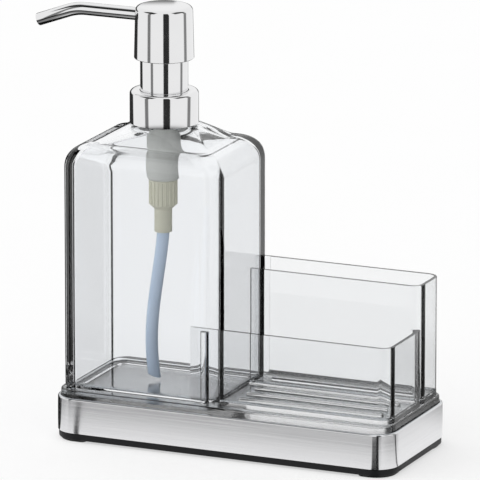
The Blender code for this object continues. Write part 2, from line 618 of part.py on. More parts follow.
def make_barrel(plastic, cream_plastic, steel):
    flange = NECK_RADIUS - SEAT_GAP
    barrel = [
        (BARREL_BORE, BARREL_FOOT_Z),
        (BARREL_RADIUS - BARREL_CHAMFER, BARREL_FOOT_Z),
        (BARREL_RADIUS, BARREL_FOOT_Z + 2 * BARREL_CHAMFER),
        (BARREL_RADIUS, FLANGE_Z),
        (flange, FLANGE_Z),
        (flange, FLANGE_TOP_Z),
        (BARREL_BORE, FLANGE_TOP_Z),
    ]
    turned("pump_barrel", barrel, plastic, INNER_TURN_STEPS)
    spigot = BARREL_BORE - SEAT_GAP
    spigot_top_z = CONNECTOR_SHOULDER_Z + SPIGOT_LENGTH
    chamber = BALL_RADIUS + RUN_GAP + SEAT_GAP
    socket = TUBE_RADIUS + SEAT_GAP
    connector = [
        (SPIGOT_BORE, spigot_top_z),
        (SPIGOT_BORE, SPRING_FLOOR_Z),
        (chamber, SPRING_FLOOR_Z),
        (chamber, SEAT_TOP_Z),
        (SEAT_BORE, SEAT_TOP_Z),
        (SEAT_BORE, SOCKET_TOP_Z),
        (socket, SOCKET_TOP_Z),
        (socket, CONNECTOR_FOOT_Z),
        (CONNECTOR_NARROW_RADIUS, CONNECTOR_FOOT_Z),
        (CONNECTOR_NARROW_RADIUS, TAPER_FOOT_Z),
        (CONNECTOR_RADIUS, TAPER_TOP_Z),
        (CONNECTOR_RADIUS, CONNECTOR_SHOULDER_Z),
        (spigot, CONNECTOR_SHOULDER_Z),
        (spigot, spigot_top_z),
    ]
    turned("tube_connector", connector, cream_plastic, INNER_TURN_STEPS)
    bm = bmesh.new()
    bmesh.ops.create_icosphere(bm, subdivisions=3, radius=BALL_RADIUS)
    ball = finish_object("inlet_ball", bm, steel)
    ball.location = (PUMP_X, 0, BALL_Z)


def make_plunger(plastic, seal_plastic, steel):
    bore = STEM_BORE
    stem = [
        (bore, STEM_FOOT_Z),
        (STEM_FOOT_RADIUS, STEM_FOOT_Z),
        (STEM_FOOT_RADIUS, STEM_FOOT_TOP_Z),
        (STEM_WAIST, STEM_FOOT_TOP_Z),
        (STEM_WAIST, SEAL_TOP_Z + SEAT_GAP),
        (STEM_RADIUS, SEAL_TOP_Z + SEAT_GAP),
        (STEM_RADIUS, STEM_TOP_Z),
        (bore, STEM_TOP_Z),
    ]
    turned("piston_stem", stem, plastic, INNER_TURN_STEPS)
    inner = STEM_WAIST + SEAT_GAP
    outer = BARREL_BORE - RUN_GAP
    groove = outer - SEAL_GROOVE
    low, high = SEAL_Z + SEAL_HEIGHT / 3, SEAL_TOP_Z - SEAL_HEIGHT / 3
    seal = [
        (inner, SEAL_Z),
        (outer, SEAL_Z),
        (outer, low),
        (groove, low),
        (groove, high),
        (outer, high),
        (outer, SEAL_TOP_Z),
        (inner, SEAL_TOP_Z),
    ]
    turned("piston_seal", seal, seal_plastic, INNER_TURN_STEPS)
    low_z = SPRING_FLOOR_Z + SEAT_GAP + SPRING_WIRE
    high_z = STEM_FOOT_Z - SEAT_GAP - SPRING_WIRE
    count = SPRING_TURNS * SPRING_POINTS_PER_TURN
    points = []
    for step in range(count + 1):
        angle = step / SPRING_POINTS_PER_TURN * 2 * pi
        # The first and last turn lie flat, as ground spring ends do.
        turn = step / SPRING_POINTS_PER_TURN
        share = min(max((turn - 1) / (SPRING_TURNS - 2), 0), 1)
        flat = 2 * SPRING_WIRE + RUN_GAP
        rise = share * (high_z - low_z - 2 * flat) + flat * (min(turn, 1) + max(0, turn - SPRING_TURNS + 1))
        points.append(
            Vector((PUMP_X + SPRING_RADIUS * cos(angle), SPRING_RADIUS * sin(angle), low_z + rise))
        )
    swept("return_spring", points, SPRING_WIRE, steel, SPRING_SIDES)


def make_head(steel, plastic):
    round_radius = HEAD_TOP_RADIUS - HEAD_ROUND
    inner_top_z = HEAD_TOP_Z - HEAD_SHEET
    profile = [
        (HEAD_FOOT_RADIUS - HEAD_SHEET, HEAD_FOOT_Z),
        (HEAD_FOOT_RADIUS - HEAD_SHEET / 2, HEAD_FOOT_Z),
        (HEAD_FOOT_RADIUS, HEAD_FOOT_Z + HEAD_SHEET / 2),
    ]
    profile += arc(round_radius, HEAD_TOP_Z - HEAD_ROUND, HEAD_ROUND, 0, 90)
    profile += [(0, HEAD_TOP_Z), (0, inner_top_z)]
    profile += arc(round_radius, HEAD_TOP_Z - HEAD_ROUND, HEAD_ROUND - HEAD_SHEET, 90, 0)
    shell = turned("head_shell", profile, steel)
    core_radius = HEAD_TOP_RADIUS - HEAD_SHEET - SEAT_GAP
    socket = STEM_RADIUS + SEAT_GAP
    core_profile = [
        (0, CORE_TOP_Z),
        (0, BOSS_Z + STEM_SOCKET_DEPTH),
        (socket, BOSS_Z + STEM_SOCKET_DEPTH),
        (socket, BOSS_Z),
        (CORE_BOSS_RADIUS, BOSS_Z),
        (CORE_BOSS_RADIUS, CORE_Z),
        (core_radius, CORE_Z),
    ]
    core_profile += arc(round_radius, HEAD_TOP_Z - HEAD_ROUND, HEAD_ROUND - HEAD_SHEET - SEAT_GAP, 0, 90)
    core = turned("head_core", core_profile, plastic)
    riser = turned(
        "riser_bore",
        ((0, BOSS_Z), (STEM_BORE, BOSS_Z), (STEM_BORE, NOZZLE_Z), (0, NOZZLE_Z)),
        None,
        TUBE_SIDES,
    )
    combine(core, riser, "DIFFERENCE")
    port_radius = NOZZLE_RADIUS + SEAT_GAP
    port_end_x = PUMP_X + STEM_BORE / 3
    port = [Vector((PUMP_X - HEAD_FOOT_RADIUS - OVERRUN, 0, NOZZLE_Z)), Vector((port_end_x, 0, NOZZLE_Z))]
    combine(core, swept("core_port", port, port_radius), "DIFFERENCE")
    combine(shell, swept("shell_port", port, port_radius), "DIFFERENCE")


def nozzle_points():
    """Centre line of the spout, from inside the head to its cut tip."""
    along = Vector((-1, 0, 0))
    down = Vector((-cos(NOZZLE_DROOP), 0, -sin(NOZZLE_DROOP)))
    tip_x = PUMP_X - NOZZLE_REACH + NOZZLE_RADIUS * sin(NOZZLE_DROOP)
    bend_end_x = tip_x + NOZZLE_TIP_RUN * cos(NOZZLE_DROOP)
    bend_start_x = bend_end_x + NOZZLE_BEND * sin(NOZZLE_DROOP)
    points = [Vector((PUMP_X - NOZZLE_ROOT, 0, NOZZLE_Z))]
    for step in range(SHOULDER_STEPS + 1):
        angle = step / SHOULDER_STEPS * NOZZLE_DROOP
        points.append(
            Vector((bend_start_x - NOZZLE_BEND * sin(angle), 0, NOZZLE_Z - NOZZLE_BEND * (1 - cos(angle))))
        )
    points.append(points[-1] + down * NOZZLE_TIP_RUN)
    return points


def make_nozzle(steel):
    points = nozzle_points()
    tube = swept("nozzle_tube", points, NOZZLE_RADIUS, steel)
    hollow(tube, points, NOZZLE_RADIUS - NOZZLE_WALL)


def tube_points():
    """Centre line of the dip tube: straight in its socket, then swaying left on its way to the floor."""
    points = [Vector((PUMP_X, 0, TUBE_TOP_Z))]
    free_top_z = CONNECTOR_FOOT_Z
    for step in range(TUBE_STEPS + 1):
        share = step / TUBE_STEPS
        sway = TUBE_SWAY * sin(pi / 2 * (share / SWAY_PEAK_SHARE) ** SWAY_POWER)
        points.append(Vector((PUMP_X - sway, 0, free_top_z + share * (TUBE_END_Z - free_top_z))))
    return points


def make_dip_tube(tube_plastic):
    points = tube_points()
    tube = swept("dip_tube", points, TUBE_RADIUS, tube_plastic)
    hollow(tube, points, TUBE_RADIUS - TUBE_WALL)
    # Slanted cut at the lower end: a block tilted about the end point, removing what is below it.
    bm = bmesh.new()
    bmesh.ops.create_cube(bm, size=TUBE_RADIUS * TUBE_SIDES)
    bmesh.ops.translate(bm, verts=bm.verts, vec=(0, 0, -TUBE_RADIUS * TUBE_SIDES / 2))
    bmesh.ops.rotate(bm, verts=bm.verts, cent=(0, 0, 0), matrix=Matrix.Rotation(TUBE_CUT_SLANT, 3, "Y"))
    block = finish_object("tube_end_cut", bm, None, smooth=False)
    block.location = points[-1] + Vector((0, 0, TUBE_RADIUS * tan(TUBE_CUT_SLANT)))
    combine(tube, block, "DIFFERENCE")


def main():
    clear_scene()
    brushed_steel = material("brushed_steel", (0.62, 0.62, 0.63), 0.32, metallic=1.0)
    polished_steel = material("polished_steel", (0.72, 0.72, 0.73), 0.08, metallic=1.0)
    black_plastic = material("black_plastic", (0.01, 0.01, 0.012), 0.45)
    foot_rubber = material("foot_rubber", (0.012, 0.012, 0.012), 0.7)
    clear_plastic = material("clear_plastic", (0.93, 0.95, 0.96), 0.03, transmission=1.0)
    clear_glass = material("clear_glass", (0.94, 0.96, 0.97), 0.02, transmission=1.0)
    seal_rubber = material("seal_rubber", (0.55, 0.55, 0.53), 0.6)
    white_plastic = material("white_plastic", (0.80, 0.80, 0.77), 0.4)
    barrel_plastic = material("barrel_plastic", (0.62, 0.64, 0.62), 0.35)
    cream_plastic = material("cream_plastic", (0.66, 0.63, 0.52), 0.4)
    tube_plastic = material("tube_plastic", (0.62, 0.70, 0.86), 0.3)
    make_tray_shell(brushed_steel)
    make_base(black_plastic, foot_rubber)
    make_organizer(clear_plastic)
    make_bottle(clear_glass, seal_rubber)
    make_collar(polished_steel, white_plastic)
    make_sleeve_and_chaplet(polished_steel, white_plastic)
    make_barrel(barrel_plastic, cream_plastic, polished_steel)
    make_plunger(white_plastic, seal_rubber, polished_steel)
    make_head(polished_steel, white_plastic)
    make_nozzle(polished_steel)
    make_dip_tube(tube_plastic)


main()
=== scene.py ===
from math import cos, pi, radians, sin, sqrt, tan

import bmesh
import bpy
from mathutils import Matrix, Vector


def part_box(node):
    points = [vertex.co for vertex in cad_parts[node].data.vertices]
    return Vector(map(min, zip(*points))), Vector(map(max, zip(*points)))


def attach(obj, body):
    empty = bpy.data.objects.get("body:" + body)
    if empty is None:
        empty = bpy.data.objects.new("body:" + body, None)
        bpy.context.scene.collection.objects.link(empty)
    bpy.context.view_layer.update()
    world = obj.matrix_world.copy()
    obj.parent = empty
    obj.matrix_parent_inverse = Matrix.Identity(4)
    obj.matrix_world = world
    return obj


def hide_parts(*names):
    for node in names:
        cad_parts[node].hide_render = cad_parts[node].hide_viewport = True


mm = 0.001
merge = 0.001 * mm  # corners this close together become one
beyond = 4 * mm  # how far a cutting shape reaches past what it cuts
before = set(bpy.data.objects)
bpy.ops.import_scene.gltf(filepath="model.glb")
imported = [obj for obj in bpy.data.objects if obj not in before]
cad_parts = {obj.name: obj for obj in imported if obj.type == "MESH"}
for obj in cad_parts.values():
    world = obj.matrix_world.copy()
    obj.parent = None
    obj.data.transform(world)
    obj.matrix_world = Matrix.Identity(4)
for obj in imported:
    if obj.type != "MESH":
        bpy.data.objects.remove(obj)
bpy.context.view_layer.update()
scene = bpy.context.scene
print("frame loaded:", len(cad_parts), "nodes")


# Shader helpers


class Signal:
    # one node output; sums of signals make Math nodes
    def __init__(self, board, socket):
        self.board = board
        self.socket = socket

    def math(self, operation, *values):
        return self.board.node("ShaderNodeMath", {"operation": operation}, dict(enumerate(values)))

    def __add__(self, other):
        return self.math("ADD", self, other)

    def __radd__(self, other):
        return self.math("ADD", other, self)

    def __sub__(self, other):
        return self.math("SUBTRACT", self, other)

    def __rsub__(self, other):
        return self.math("SUBTRACT", other, self)

    def __mul__(self, other):
        return self.math("MULTIPLY", self, other)

    def __rmul__(self, other):
        return self.math("MULTIPLY", other, self)

    def __truediv__(self, other):
        return self.math("DIVIDE", self, other)

    def __rtruediv__(self, other):
        return self.math("DIVIDE", other, self)

    def __lt__(self, other):
        return self.math("LESS_THAN", self, other)

    def __gt__(self, other):
        return self.math("GREATER_THAN", self, other)


class Board:
    # a node tree; every node is added by its type, its settings and its inputs
    def __init__(self, owner):
        owner.use_nodes = True
        self.tree = owner.node_tree
        self.tree.nodes.clear()

    def node(self, kind, settings=None, inputs=None, out=0):
        made = self.tree.nodes.new(kind)
        for name, value in (settings or {}).items():
            setattr(made, name, value)
        for key, value in (inputs or {}).items():
            self.feed(made.inputs[key], value)
        return Signal(self, made.outputs[out]) if made.outputs else None

    def feed(self, socket, value):
        if isinstance(value, Signal):
            self.tree.links.new(value.socket, socket)
        elif socket.type == "RGBA" and len(value) == 3:
            socket.default_value = (*value, 1.0)
        else:
            socket.default_value = value

    def place(self, scale=(1, 1, 1)):
        coords = self.node("ShaderNodeTexCoord", out="Object")
        return self.node("ShaderNodeMapping", {}, {"Vector": coords, "Scale": scale})

    def noise(self, scale, detail=3.0, size=(1, 1, 1), roughness=0.5):
        values = {"Vector": self.place(size), "Scale": scale, "Detail": detail, "Roughness": roughness}
        return self.node("ShaderNodeTexNoise", {}, values, out="Fac")

    def remap(self, value, low, high, toLow, toHigh):
        inputs = {"Value": value, "From Min": low, "From Max": high, "To Min": toLow, "To Max": toHigh}
        return self.node("ShaderNodeMapRange", {}, inputs)

    def soft(self, value, low, high):
        inputs = {"Value": value, "From Min": low, "From Max": high}
        return self.node("ShaderNodeMapRange", {"interpolation_type": "SMOOTHSTEP"}, inputs)

    def band(self, value, low, high, edge):
        # 1 between low and high, 0 outside, with soft edges
        return self.soft(value, low - edge, low + edge) * self.soft(value, high + edge, high - edge)

    def blend(self, factor, first, second):
        inputs = {0: factor, 6: first, 7: second}
        return self.node("ShaderNodeMix", {"data_type": "RGBA"}, inputs, out=2)

    def bump(self, height, strength, distance):
        return self.node("ShaderNodeBump", {}, {"Height": height, "Strength": strength, "Distance": distance})

    def surface(self, **sockets):
        # the one shader of a material, and its output
        values = {name.replace("_", " "): value for name, value in sockets.items()}
        shader = self.node("ShaderNodeBsdfPrincipled", {}, values, out="BSDF")
        self.node("ShaderNodeOutputMaterial", {}, {"Surface": shader})


def newLook(name):
    look = bpy.data.materials.new(name)
    return look, Board(look)


# Shape helpers


def outline(left, right, front, back, radii, steps=12):
    # places round a rectangle with rounded corners: front right, back right, back left, front left
    corners = (
        (right, front, -1, 1, -1),
        (right, back, -1, -1, 0),
        (left, back, 1, -1, 1),
        (left, front, 1, 1, 2),
    )
    places = []
    for (x, y, inX, inY, quarter), radius in zip(corners, radii):
        for step in range(steps + 1):
            angle = (quarter + step / steps) * pi / 2
            across, along = inX + cos(angle), inY + sin(angle)
            places.append((x + across * radius, y + along * radius))
    return places


def prism(places, low, high):
    return loft(flatLevels([(places, low), (places, high)]))


def quarter(steps):
    # angles from nothing to a right angle
    return [step / steps * pi / 2 for step in range(steps + 1)]


def ringEdges(ring):
    inRing = set(ring)
    return [edge for edge in {e for v in ring for e in v.link_edges} if set(edge.verts) <= inRing]


def addRing(bm, places):
    ring = bmesh.ops.create_circle(bm, segments=len(places), radius=1.0)["verts"]
    for vert, place in zip(ring, places):
        vert.co = place
    return ring


def pulled(bm, ring, places):
    # the ring's edges extruded once, with the new ring put on the given places
    made = bmesh.ops.extrude_edge_only(bm, edges=ringEdges(ring))["geom"]
    fresh = {item for item in made if isinstance(item, bmesh.types.BMVert)}
    following = []
    for vert in ring:
        following.append(next(e.other_vert(vert) for e in vert.link_edges if e.other_vert(vert) in fresh))
    for vert, place in zip(following, places):
        vert.co = place
    return following


def loft(levels, closed=False):
    # a skin through rings of as many places each, capped, or closed from the last ring to the first
    bm = bmesh.new()
    first = last = addRing(bm, levels[0])
    for places in levels[1:]:
        last = pulled(bm, last, places)
    if closed:
        pulled(bm, last, levels[0])
    else:
        bmesh.ops.contextual_create(bm, geom=ringEdges(first))
        bmesh.ops.contextual_create(bm, geom=ringEdges(last))
    bmesh.ops.remove_doubles(bm, verts=bm.verts, dist=merge)
    bmesh.ops.recalc_face_normals(bm, faces=bm.faces)
    return bm


def flatLevels(outlines):
    return [[(x, y, z) for x, y in places] for places, z in outlines]


def softCorners(corners, steps=5):
    # a closed (radius, z) section, each corner rounded by its third number
    section = []
    for i, (radius, z, soft) in enumerate(corners):
        here = Vector((radius, z))
        before = Vector(corners[i - 1][:2]) - here
        after = Vector(corners[(i + 1) % len(corners)][:2]) - here
        if soft <= 0:
            section.append(tuple(here))
            continue
        half = before.angle(after) / 2
        reach = soft / tan(half)
        start = here + before.normalized() * reach
        end = here + after.normalized() * reach
        centre = here + (before.normalized() + after.normalized()).normalized() * (soft / sin(half))
        spokeA, spokeB = start - centre, end - centre
        turn = spokeA.angle_signed(spokeB)
        for step in range(steps + 1):
            spoke = spokeA.copy()
            spoke.rotate(Matrix.Rotation(-turn * step / steps, 2))
            section.append(tuple(centre + spoke))
    return section


def turned(section, steps=96, closed=True):
    # a section turned about the pump's axis
    bm = bmesh.new()
    verts = [bm.verts.new((max(radius, 0), 0, z)) for radius, z in section]
    pairs = zip(verts, verts[1:] + verts[:1]) if closed else zip(verts, verts[1:])
    edges = [bm.edges.new(pair) for pair in pairs]
    bmesh.ops.spin(
        bm, geom=verts + edges, axis=(0, 0, 1), cent=(0, 0, 0), angle=2 * pi, steps=steps, use_merge=True
    )
    bmesh.ops.remove_doubles(bm, verts=bm.verts, dist=2 * merge)
    bmesh.ops.recalc_face_normals(bm, faces=bm.faces)
    bmesh.ops.translate(bm, verts=bm.verts, vec=(axisX, 0, 0))
    return bm


def alongPath(points, radii, sides=32):
    # one ring of places for each point of a path in the plane y = 0
    levels = []
    for i, (point, radius) in enumerate(zip(points, radii)):
        ahead = points[min(i + 1, len(points) - 1)] - points[max(i - 1, 0)]
        ahead.normalize()
        across = Vector((-ahead.z, 0, ahead.x))
        ring = []
        for side in range(sides):
            angle = side / sides * 2 * pi
            ring.append(point + across * radius * cos(angle) + Vector((0, 1, 0)) * radius * sin(angle))
        levels.append(ring)
    return levels


def heldObject(name, bm):
    mesh = bpy.data.meshes.new(name)
    bm.to_mesh(mesh)
    bm.free()
    made = bpy.data.objects.new(name, mesh)
    scene.collection.objects.link(made)
    return made


def carved(bm, steps):
    # cuts and joins other shapes, one after another
    base = heldObject("carving", bm)
    tools = []
    for number, (operation, tool) in enumerate(steps):
        helper = heldObject(f"tool{number}", tool)
        tools.append(helper)
        change = base.modifiers.new(f"step{number}", "BOOLEAN")
        change.operation = operation
        change.solver = "EXACT"
        change.object = helper
    result = base.evaluated_get(bpy.context.evaluated_depsgraph_get())
    made = bmesh.new()
    made.from_mesh(result.to_mesh())
    result.to_mesh_clear()
    for helper in [base, *tools]:
        bpy.data.objects.remove(helper)
    bmesh.ops.remove_doubles(made, verts=made.verts, dist=2 * merge)
    return made


def finishPiece(name, bm, looks, body, nodes, sharp=35, pick=None, flatten=False):
    # pick gives a face's number in looks
    bmesh.ops.remove_doubles(bm, verts=bm.verts, dist=merge)
    bmesh.ops.recalc_face_normals(bm, faces=bm.faces)
    if pick:
        for face in bm.faces:
            face.material_index = pick(face)
    piece = heldObject(name, bm)
    for look in looks:
        piece.data.materials.append(look)
    piece.data.shade_smooth()
    piece.data.set_sharp_from_angle(angle=radians(sharp))
    if flatten:  # keeps the wide panels flat where they meet rounded edges
        weighted = piece.modifiers.new("flat panels", "WEIGHTED_NORMAL")
        weighted.weight = 60
        weighted.keep_sharp = True
    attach(piece, body)
    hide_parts(*nodes)
    return piece


# Where the solids are

trayLow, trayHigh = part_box("tray_shell")
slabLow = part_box("organizer_insert")[0]
sleeveLow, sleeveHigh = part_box("guide_sleeve")
bottleLow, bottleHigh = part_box("bottle")
axisX = (sleeveLow[0] + sleeveHigh[0]) / 2
gap = 0.3 * mm


# Camera: fitted to corners of the tray, the walls and the bottle

shot = dict(
    azimuth=23.66,
    elevation=14.64,
    distance=4.42,
    lens=613.4,
    sensor=36,
    far=100,
    target=(7.89 * mm, -1.5 * mm, 112.42 * mm),
)


def addCamera():
    azimuth, elevation = radians(shot["azimuth"]), radians(shot["elevation"])
    back = Vector((sin(azimuth) * cos(elevation), -cos(azimuth) * cos(elevation), sin(elevation)))
    data = bpy.data.cameras.new("camera")
    data.sensor_width = shot["sensor"]
    data.lens = shot["lens"]
    data.clip_end = shot["far"]
    camera = bpy.data.objects.new("camera", data)
    scene.collection.objects.link(camera)
    camera.location = Vector(shot["target"]) + back * shot["distance"]
    camera.rotation_euler = back.to_track_quat("Z", "Y").to_euler()
    scene.camera = camera


addCamera()
print("camera set")


# Light: a white room with a few dark flags, which only gloss and glass show

room = dict(
    level=1.0,
    fromLeft=0.5,
    # dark flags for gloss: from and to in degrees right of the camera, how dark, how soft, top as a sine
    flags=(
        (-3, 20, 0.97, 1.2, 0.80),
        (-67, -54, 0.78, 2.0, 0.80),
        (84, 98, 0.75, 2.5, 0.80),
        (-200, -126, 0.97, 2.5, 0.18),
        (160, 200, 0.75, 4.0, 0.12),
    ),
    flagFade=0.06,
    # dark boards overhead: from and to in degrees, lowest and highest sine, how dark
    boards=((-104, -44, 0.53, 0.90, 0.95), (48, 104, 0.53, 0.90, 0.9)),
    boardSoft=3,
    boardFade=0.04,
    # how far down gloss sees the room dark, and how dark
    under=(-0.33, 0.93),
    underFade=0.02,
    # bright walls for glass, in degrees right of the camera: after a bounce inside it, and straight through
    glassWalls=((152, 208),),
    plainWalls=((138, 222), (-42, 82), (232, 262)),
    wallSoft=4,
    overhead=(0.35, 0.6),
    glassDark=0.02,
    glassUnder=(-0.42, 0.8),
    glassFade=0.04,
)


def buildRoom():
    world = bpy.data.worlds.new("room")
    scene.world = world
    board = Board(world)
    # the room has no small lamp, so rays find it by themselves
    world.cycles.sampling_method = "NONE"
    direction = board.node("ShaderNodeTexCoord", out="Generated")
    parts = board.node("ShaderNodeSeparateXYZ", {}, {0: direction}).socket.node.outputs
    x, y, z = (Signal(board, part) for part in parts)
    turn = x.math("ARCTAN2", x, 0 - y) * (180 / pi)
    turn = turn.math("WRAP", turn - shot["azimuth"], 180, -180)
    around = turn.math("WRAP", turn, 360, 0)
    gloss = 1
    for low, high, dark, soft, top in room["flags"]:
        inside = board.band(turn, low, high, soft)
        gloss = gloss * (1 - inside * board.soft(z, top + room["flagFade"], top - room["flagFade"]) * dark)
    for low, high, foot, top, dark in room["boards"]:
        inside = board.band(turn, low, high, room["boardSoft"]) * board.band(z, foot, top, room["boardFade"])
        gloss = gloss * (1 - inside * dark)
    under, dark = room["under"]
    gloss = gloss * (1 - board.soft(z, under + room["underFade"], under - room["underFade"]) * dark)
    overhead = board.soft(z, *room["overhead"])
    below, shade = room["glassUnder"]
    downward = board.soft(z, below + room["glassFade"], below - room["glassFade"])

    def glassRoom(walls):
        # what glass sees: bright walls and ceiling, dark corners
        bright = overhead
        for low, high in walls:
            angle = turn if low < 0 else around
            wall = board.band(angle, low, high, room["wallSoft"])
            bright = bright.math("MAXIMUM", bright, wall)
        seen = room["glassDark"] + (1 - room["glassDark"]) * bright
        return seen * (1 - downward * shade)

    path = board.node("ShaderNodeLightPath").socket.node.outputs
    isGlossy = Signal(board, path["Is Glossy Ray"])
    isThrough = Signal(board, path["Is Transmission Ray"])
    bounced = Signal(board, path["Glossy Depth"]) > 0.5
    afterDiffuse = Signal(board, path["Diffuse Depth"]) > 0.5
    plain = 1 - afterDiffuse
    through = bounced * glassRoom(room["glassWalls"]) + (1 - bounced) * glassRoom(room["plainWalls"])
    level = 1 - isGlossy * (1 - isThrough) * plain * (1 - gloss)
    level = level * (1 - isThrough * plain * (1 - through))
    # what the room gives to matt surfaces is stronger from the camera's left
    azimuth = radians(shot["azimuth"])
    rightward = x * cos(azimuth) + y * sin(azimuth)
    level = level * (1 - afterDiffuse * rightward * room["fromLeft"])
    light = board.node("ShaderNodeBackground", {}, {"Color": (1, 1, 1), "Strength": level * room["level"]})
    board.node("ShaderNodeOutputWorld", {}, {"Surface": light})


studio = dict(
    halfSize=12,
    grain=12.0,
    paper=((0.97, 0.97, 0.97), (0.99, 0.99, 0.99)),
    paperShare=0.45,
    # painted reflection, seen only by gloss: the floor white at the tray's foot and darker from the first to
    # the second distance
    near=(0.01, 0.11),
    nearDark=0.75,
    # further out it sees through the floor to the room
    far=(0.14, 0.24),
    # painted reflection: dark strips by the tray's front corners, seen only by gloss: side, from and to in
    # degrees, how dark
    strips=((1, 3, 31, 0.98), (1, 113, 122, 0.9), (-1, -158, -84, 0.98)),
    stripSoft=2,
    corner=13 * mm,
    # one more painted dark strip for gloss, away from the front: where it starts, its half width, how dark,
    # how soft
    sideLine=(-72 * mm, 1.3 * mm, 0.95, 0.4),
)


def addFloor():
    s = studio
    look, board = newLook("studio_floor")
    path = board.node("ShaderNodeLightPath").socket.node.outputs
    white = board.node("ShaderNodeEmission", {}, {"Color": (1, 1, 1), "Strength": 1.0})
    tone = board.blend(board.noise(s["grain"]), *s["paper"])
    paper = board.node("ShaderNodeBsdfDiffuse", {}, {"Color": tone})
    lit = board.node("ShaderNodeMixShader", {}, {0: s["paperShare"], 1: white, 2: paper})
    clear = board.node("ShaderNodeBsdfTransparent")
    glossy = Signal(board, path["Is Glossy Ray"])
    through = Signal(board, path["Is Transmission Ray"])
    place = board.node("ShaderNodeTexCoord", out="Object")
    spot = board.node("ShaderNodeSeparateXYZ", {}, {0: place}).socket.node.outputs
    across, along = Signal(board, spot[0]), Signal(board, spot[1])
    middle, reach = (trayLow[0] + trayHigh[0]) / 2, (trayHigh[0] - trayLow[0]) / 2
    aside = across.math("ABSOLUTE", across - middle) - reach
    outside = aside.math("MAXIMUM", aside, along.math("ABSOLUTE", along) - trayHigh[1])
    seen = 1 - board.soft(outside, *s["near"]) * s["nearDark"]
    depth = along - trayLow[1] - s["corner"]
    for side, low, high, dark in s["strips"]:
        sideways = across - middle - side * (reach - s["corner"])
        angle = depth.math("ARCTAN2", sideways, 0 - depth) * (180 / pi)
        seen = seen * (1 - board.band(angle, low, high, s["stripSoft"]) * dark)
    start, half, dark, soft = s["sideLine"]
    lean = radians(shot["azimuth"])
    aslant = (across - start) * cos(lean) - (along - trayLow[1]) * sin(lean)
    line = board.soft(aslant.math("ABSOLUTE", aslant), half * (1 + soft), half * (1 - soft))
    seen = seen * (1 - line * (along < trayLow[1]) * dark)
    # painted reflection: what gloss sees of the floor is a glow darkened by the strips and by distance
    near = board.node("ShaderNodeEmission", {}, {"Color": (1, 1, 1), "Strength": seen})
    shown = board.node("ShaderNodeMixShader", {}, {0: glossy, 1: lit, 2: near})
    unseen = through.math("MAXIMUM", through, glossy * board.soft(outside, *s["far"]))
    mixed = board.node("ShaderNodeMixShader", {}, {0: unseen, 1: shown, 2: clear})
    board.node("ShaderNodeOutputMaterial", {}, {"Surface": mixed})
    bm = bmesh.new()
    bmesh.ops.create_grid(bm, x_segments=2, y_segments=2, size=s["halfSize"])
    floor = heldObject("studio_floor", bm)
    floor.data.materials.append(look)


scene.view_settings.view_transform = "Standard"
buildRoom()
addFloor()
print("room and floor set")


# Finishes


def brushedSteel(name, size, spread, dark, light):
    # fine lines along the sheet; size stretches the grain, spread is how far the gloss runs across it
    look, board = newLook(name)
    lines = board.noise(1.0, detail=4.0, size=size, roughness=0.65)
    patches = board.noise(9.0, detail=2.0)
    tone = board.remap(lines + patches * 0.6, low=0.6, high=1.0, toLow=0.0, toHigh=1.0)
    board.surface(
        Base_Color=board.blend(tone, dark, light),
        Metallic=1.0,
        Roughness=board.remap(lines, low=0.35, high=0.65, toLow=0.15, toHigh=0.20),
        Anisotropic=spread,
        Anisotropic_Rotation=0.25,
        Normal=board.bump(lines, strength=0.05, distance=0.03 * mm),
    )
    return look


def polishedSteel(name, dark, light):
    look, board = newLook(name)
    smudge = board.noise(60.0, detail=4.0, size=(1, 1, 1.6))
    board.surface(
        Base_Color=board.blend(smudge, dark, light),
        Metallic=1.0,
        Roughness=board.remap(smudge, low=0.3, high=0.75, toLow=0.045, toHigh=0.085),
        Normal=board.bump(board.noise(220.0, detail=2.0), strength=0.02, distance=0.02 * mm),
    )
    return look


def mouldedPlastic(name, dark, light, roughness, grain=900.0, **more):
    look, board = newLook(name)
    grains = board.noise(grain, detail=2.0)
    board.surface(
        Base_Color=board.blend(board.noise(28.0, detail=3.0), dark, light),
        Roughness=board.remap(grains, low=0.3, high=0.7, toLow=roughness - 0.06, toHigh=roughness + 0.06),
        Normal=board.bump(grains, strength=0.2, distance=0.03 * mm),
        **more,
    )
    return look


def clearSolid(name, ior, thin, thick, wave, waveScale, roughness=0.0):
    # a faint tint that varies a little, and a surface that isn't quite even
    look, board = newLook(name)
    board.surface(
        Base_Color=board.blend(board.noise(7.0, detail=1.0), thin, thick),
        Roughness=roughness,
        IOR=ior,
        Transmission_Weight=1.0,
        Normal=board.bump(board.noise(waveScale, detail=1.5), strength=1.0, distance=wave),
    )
    return look


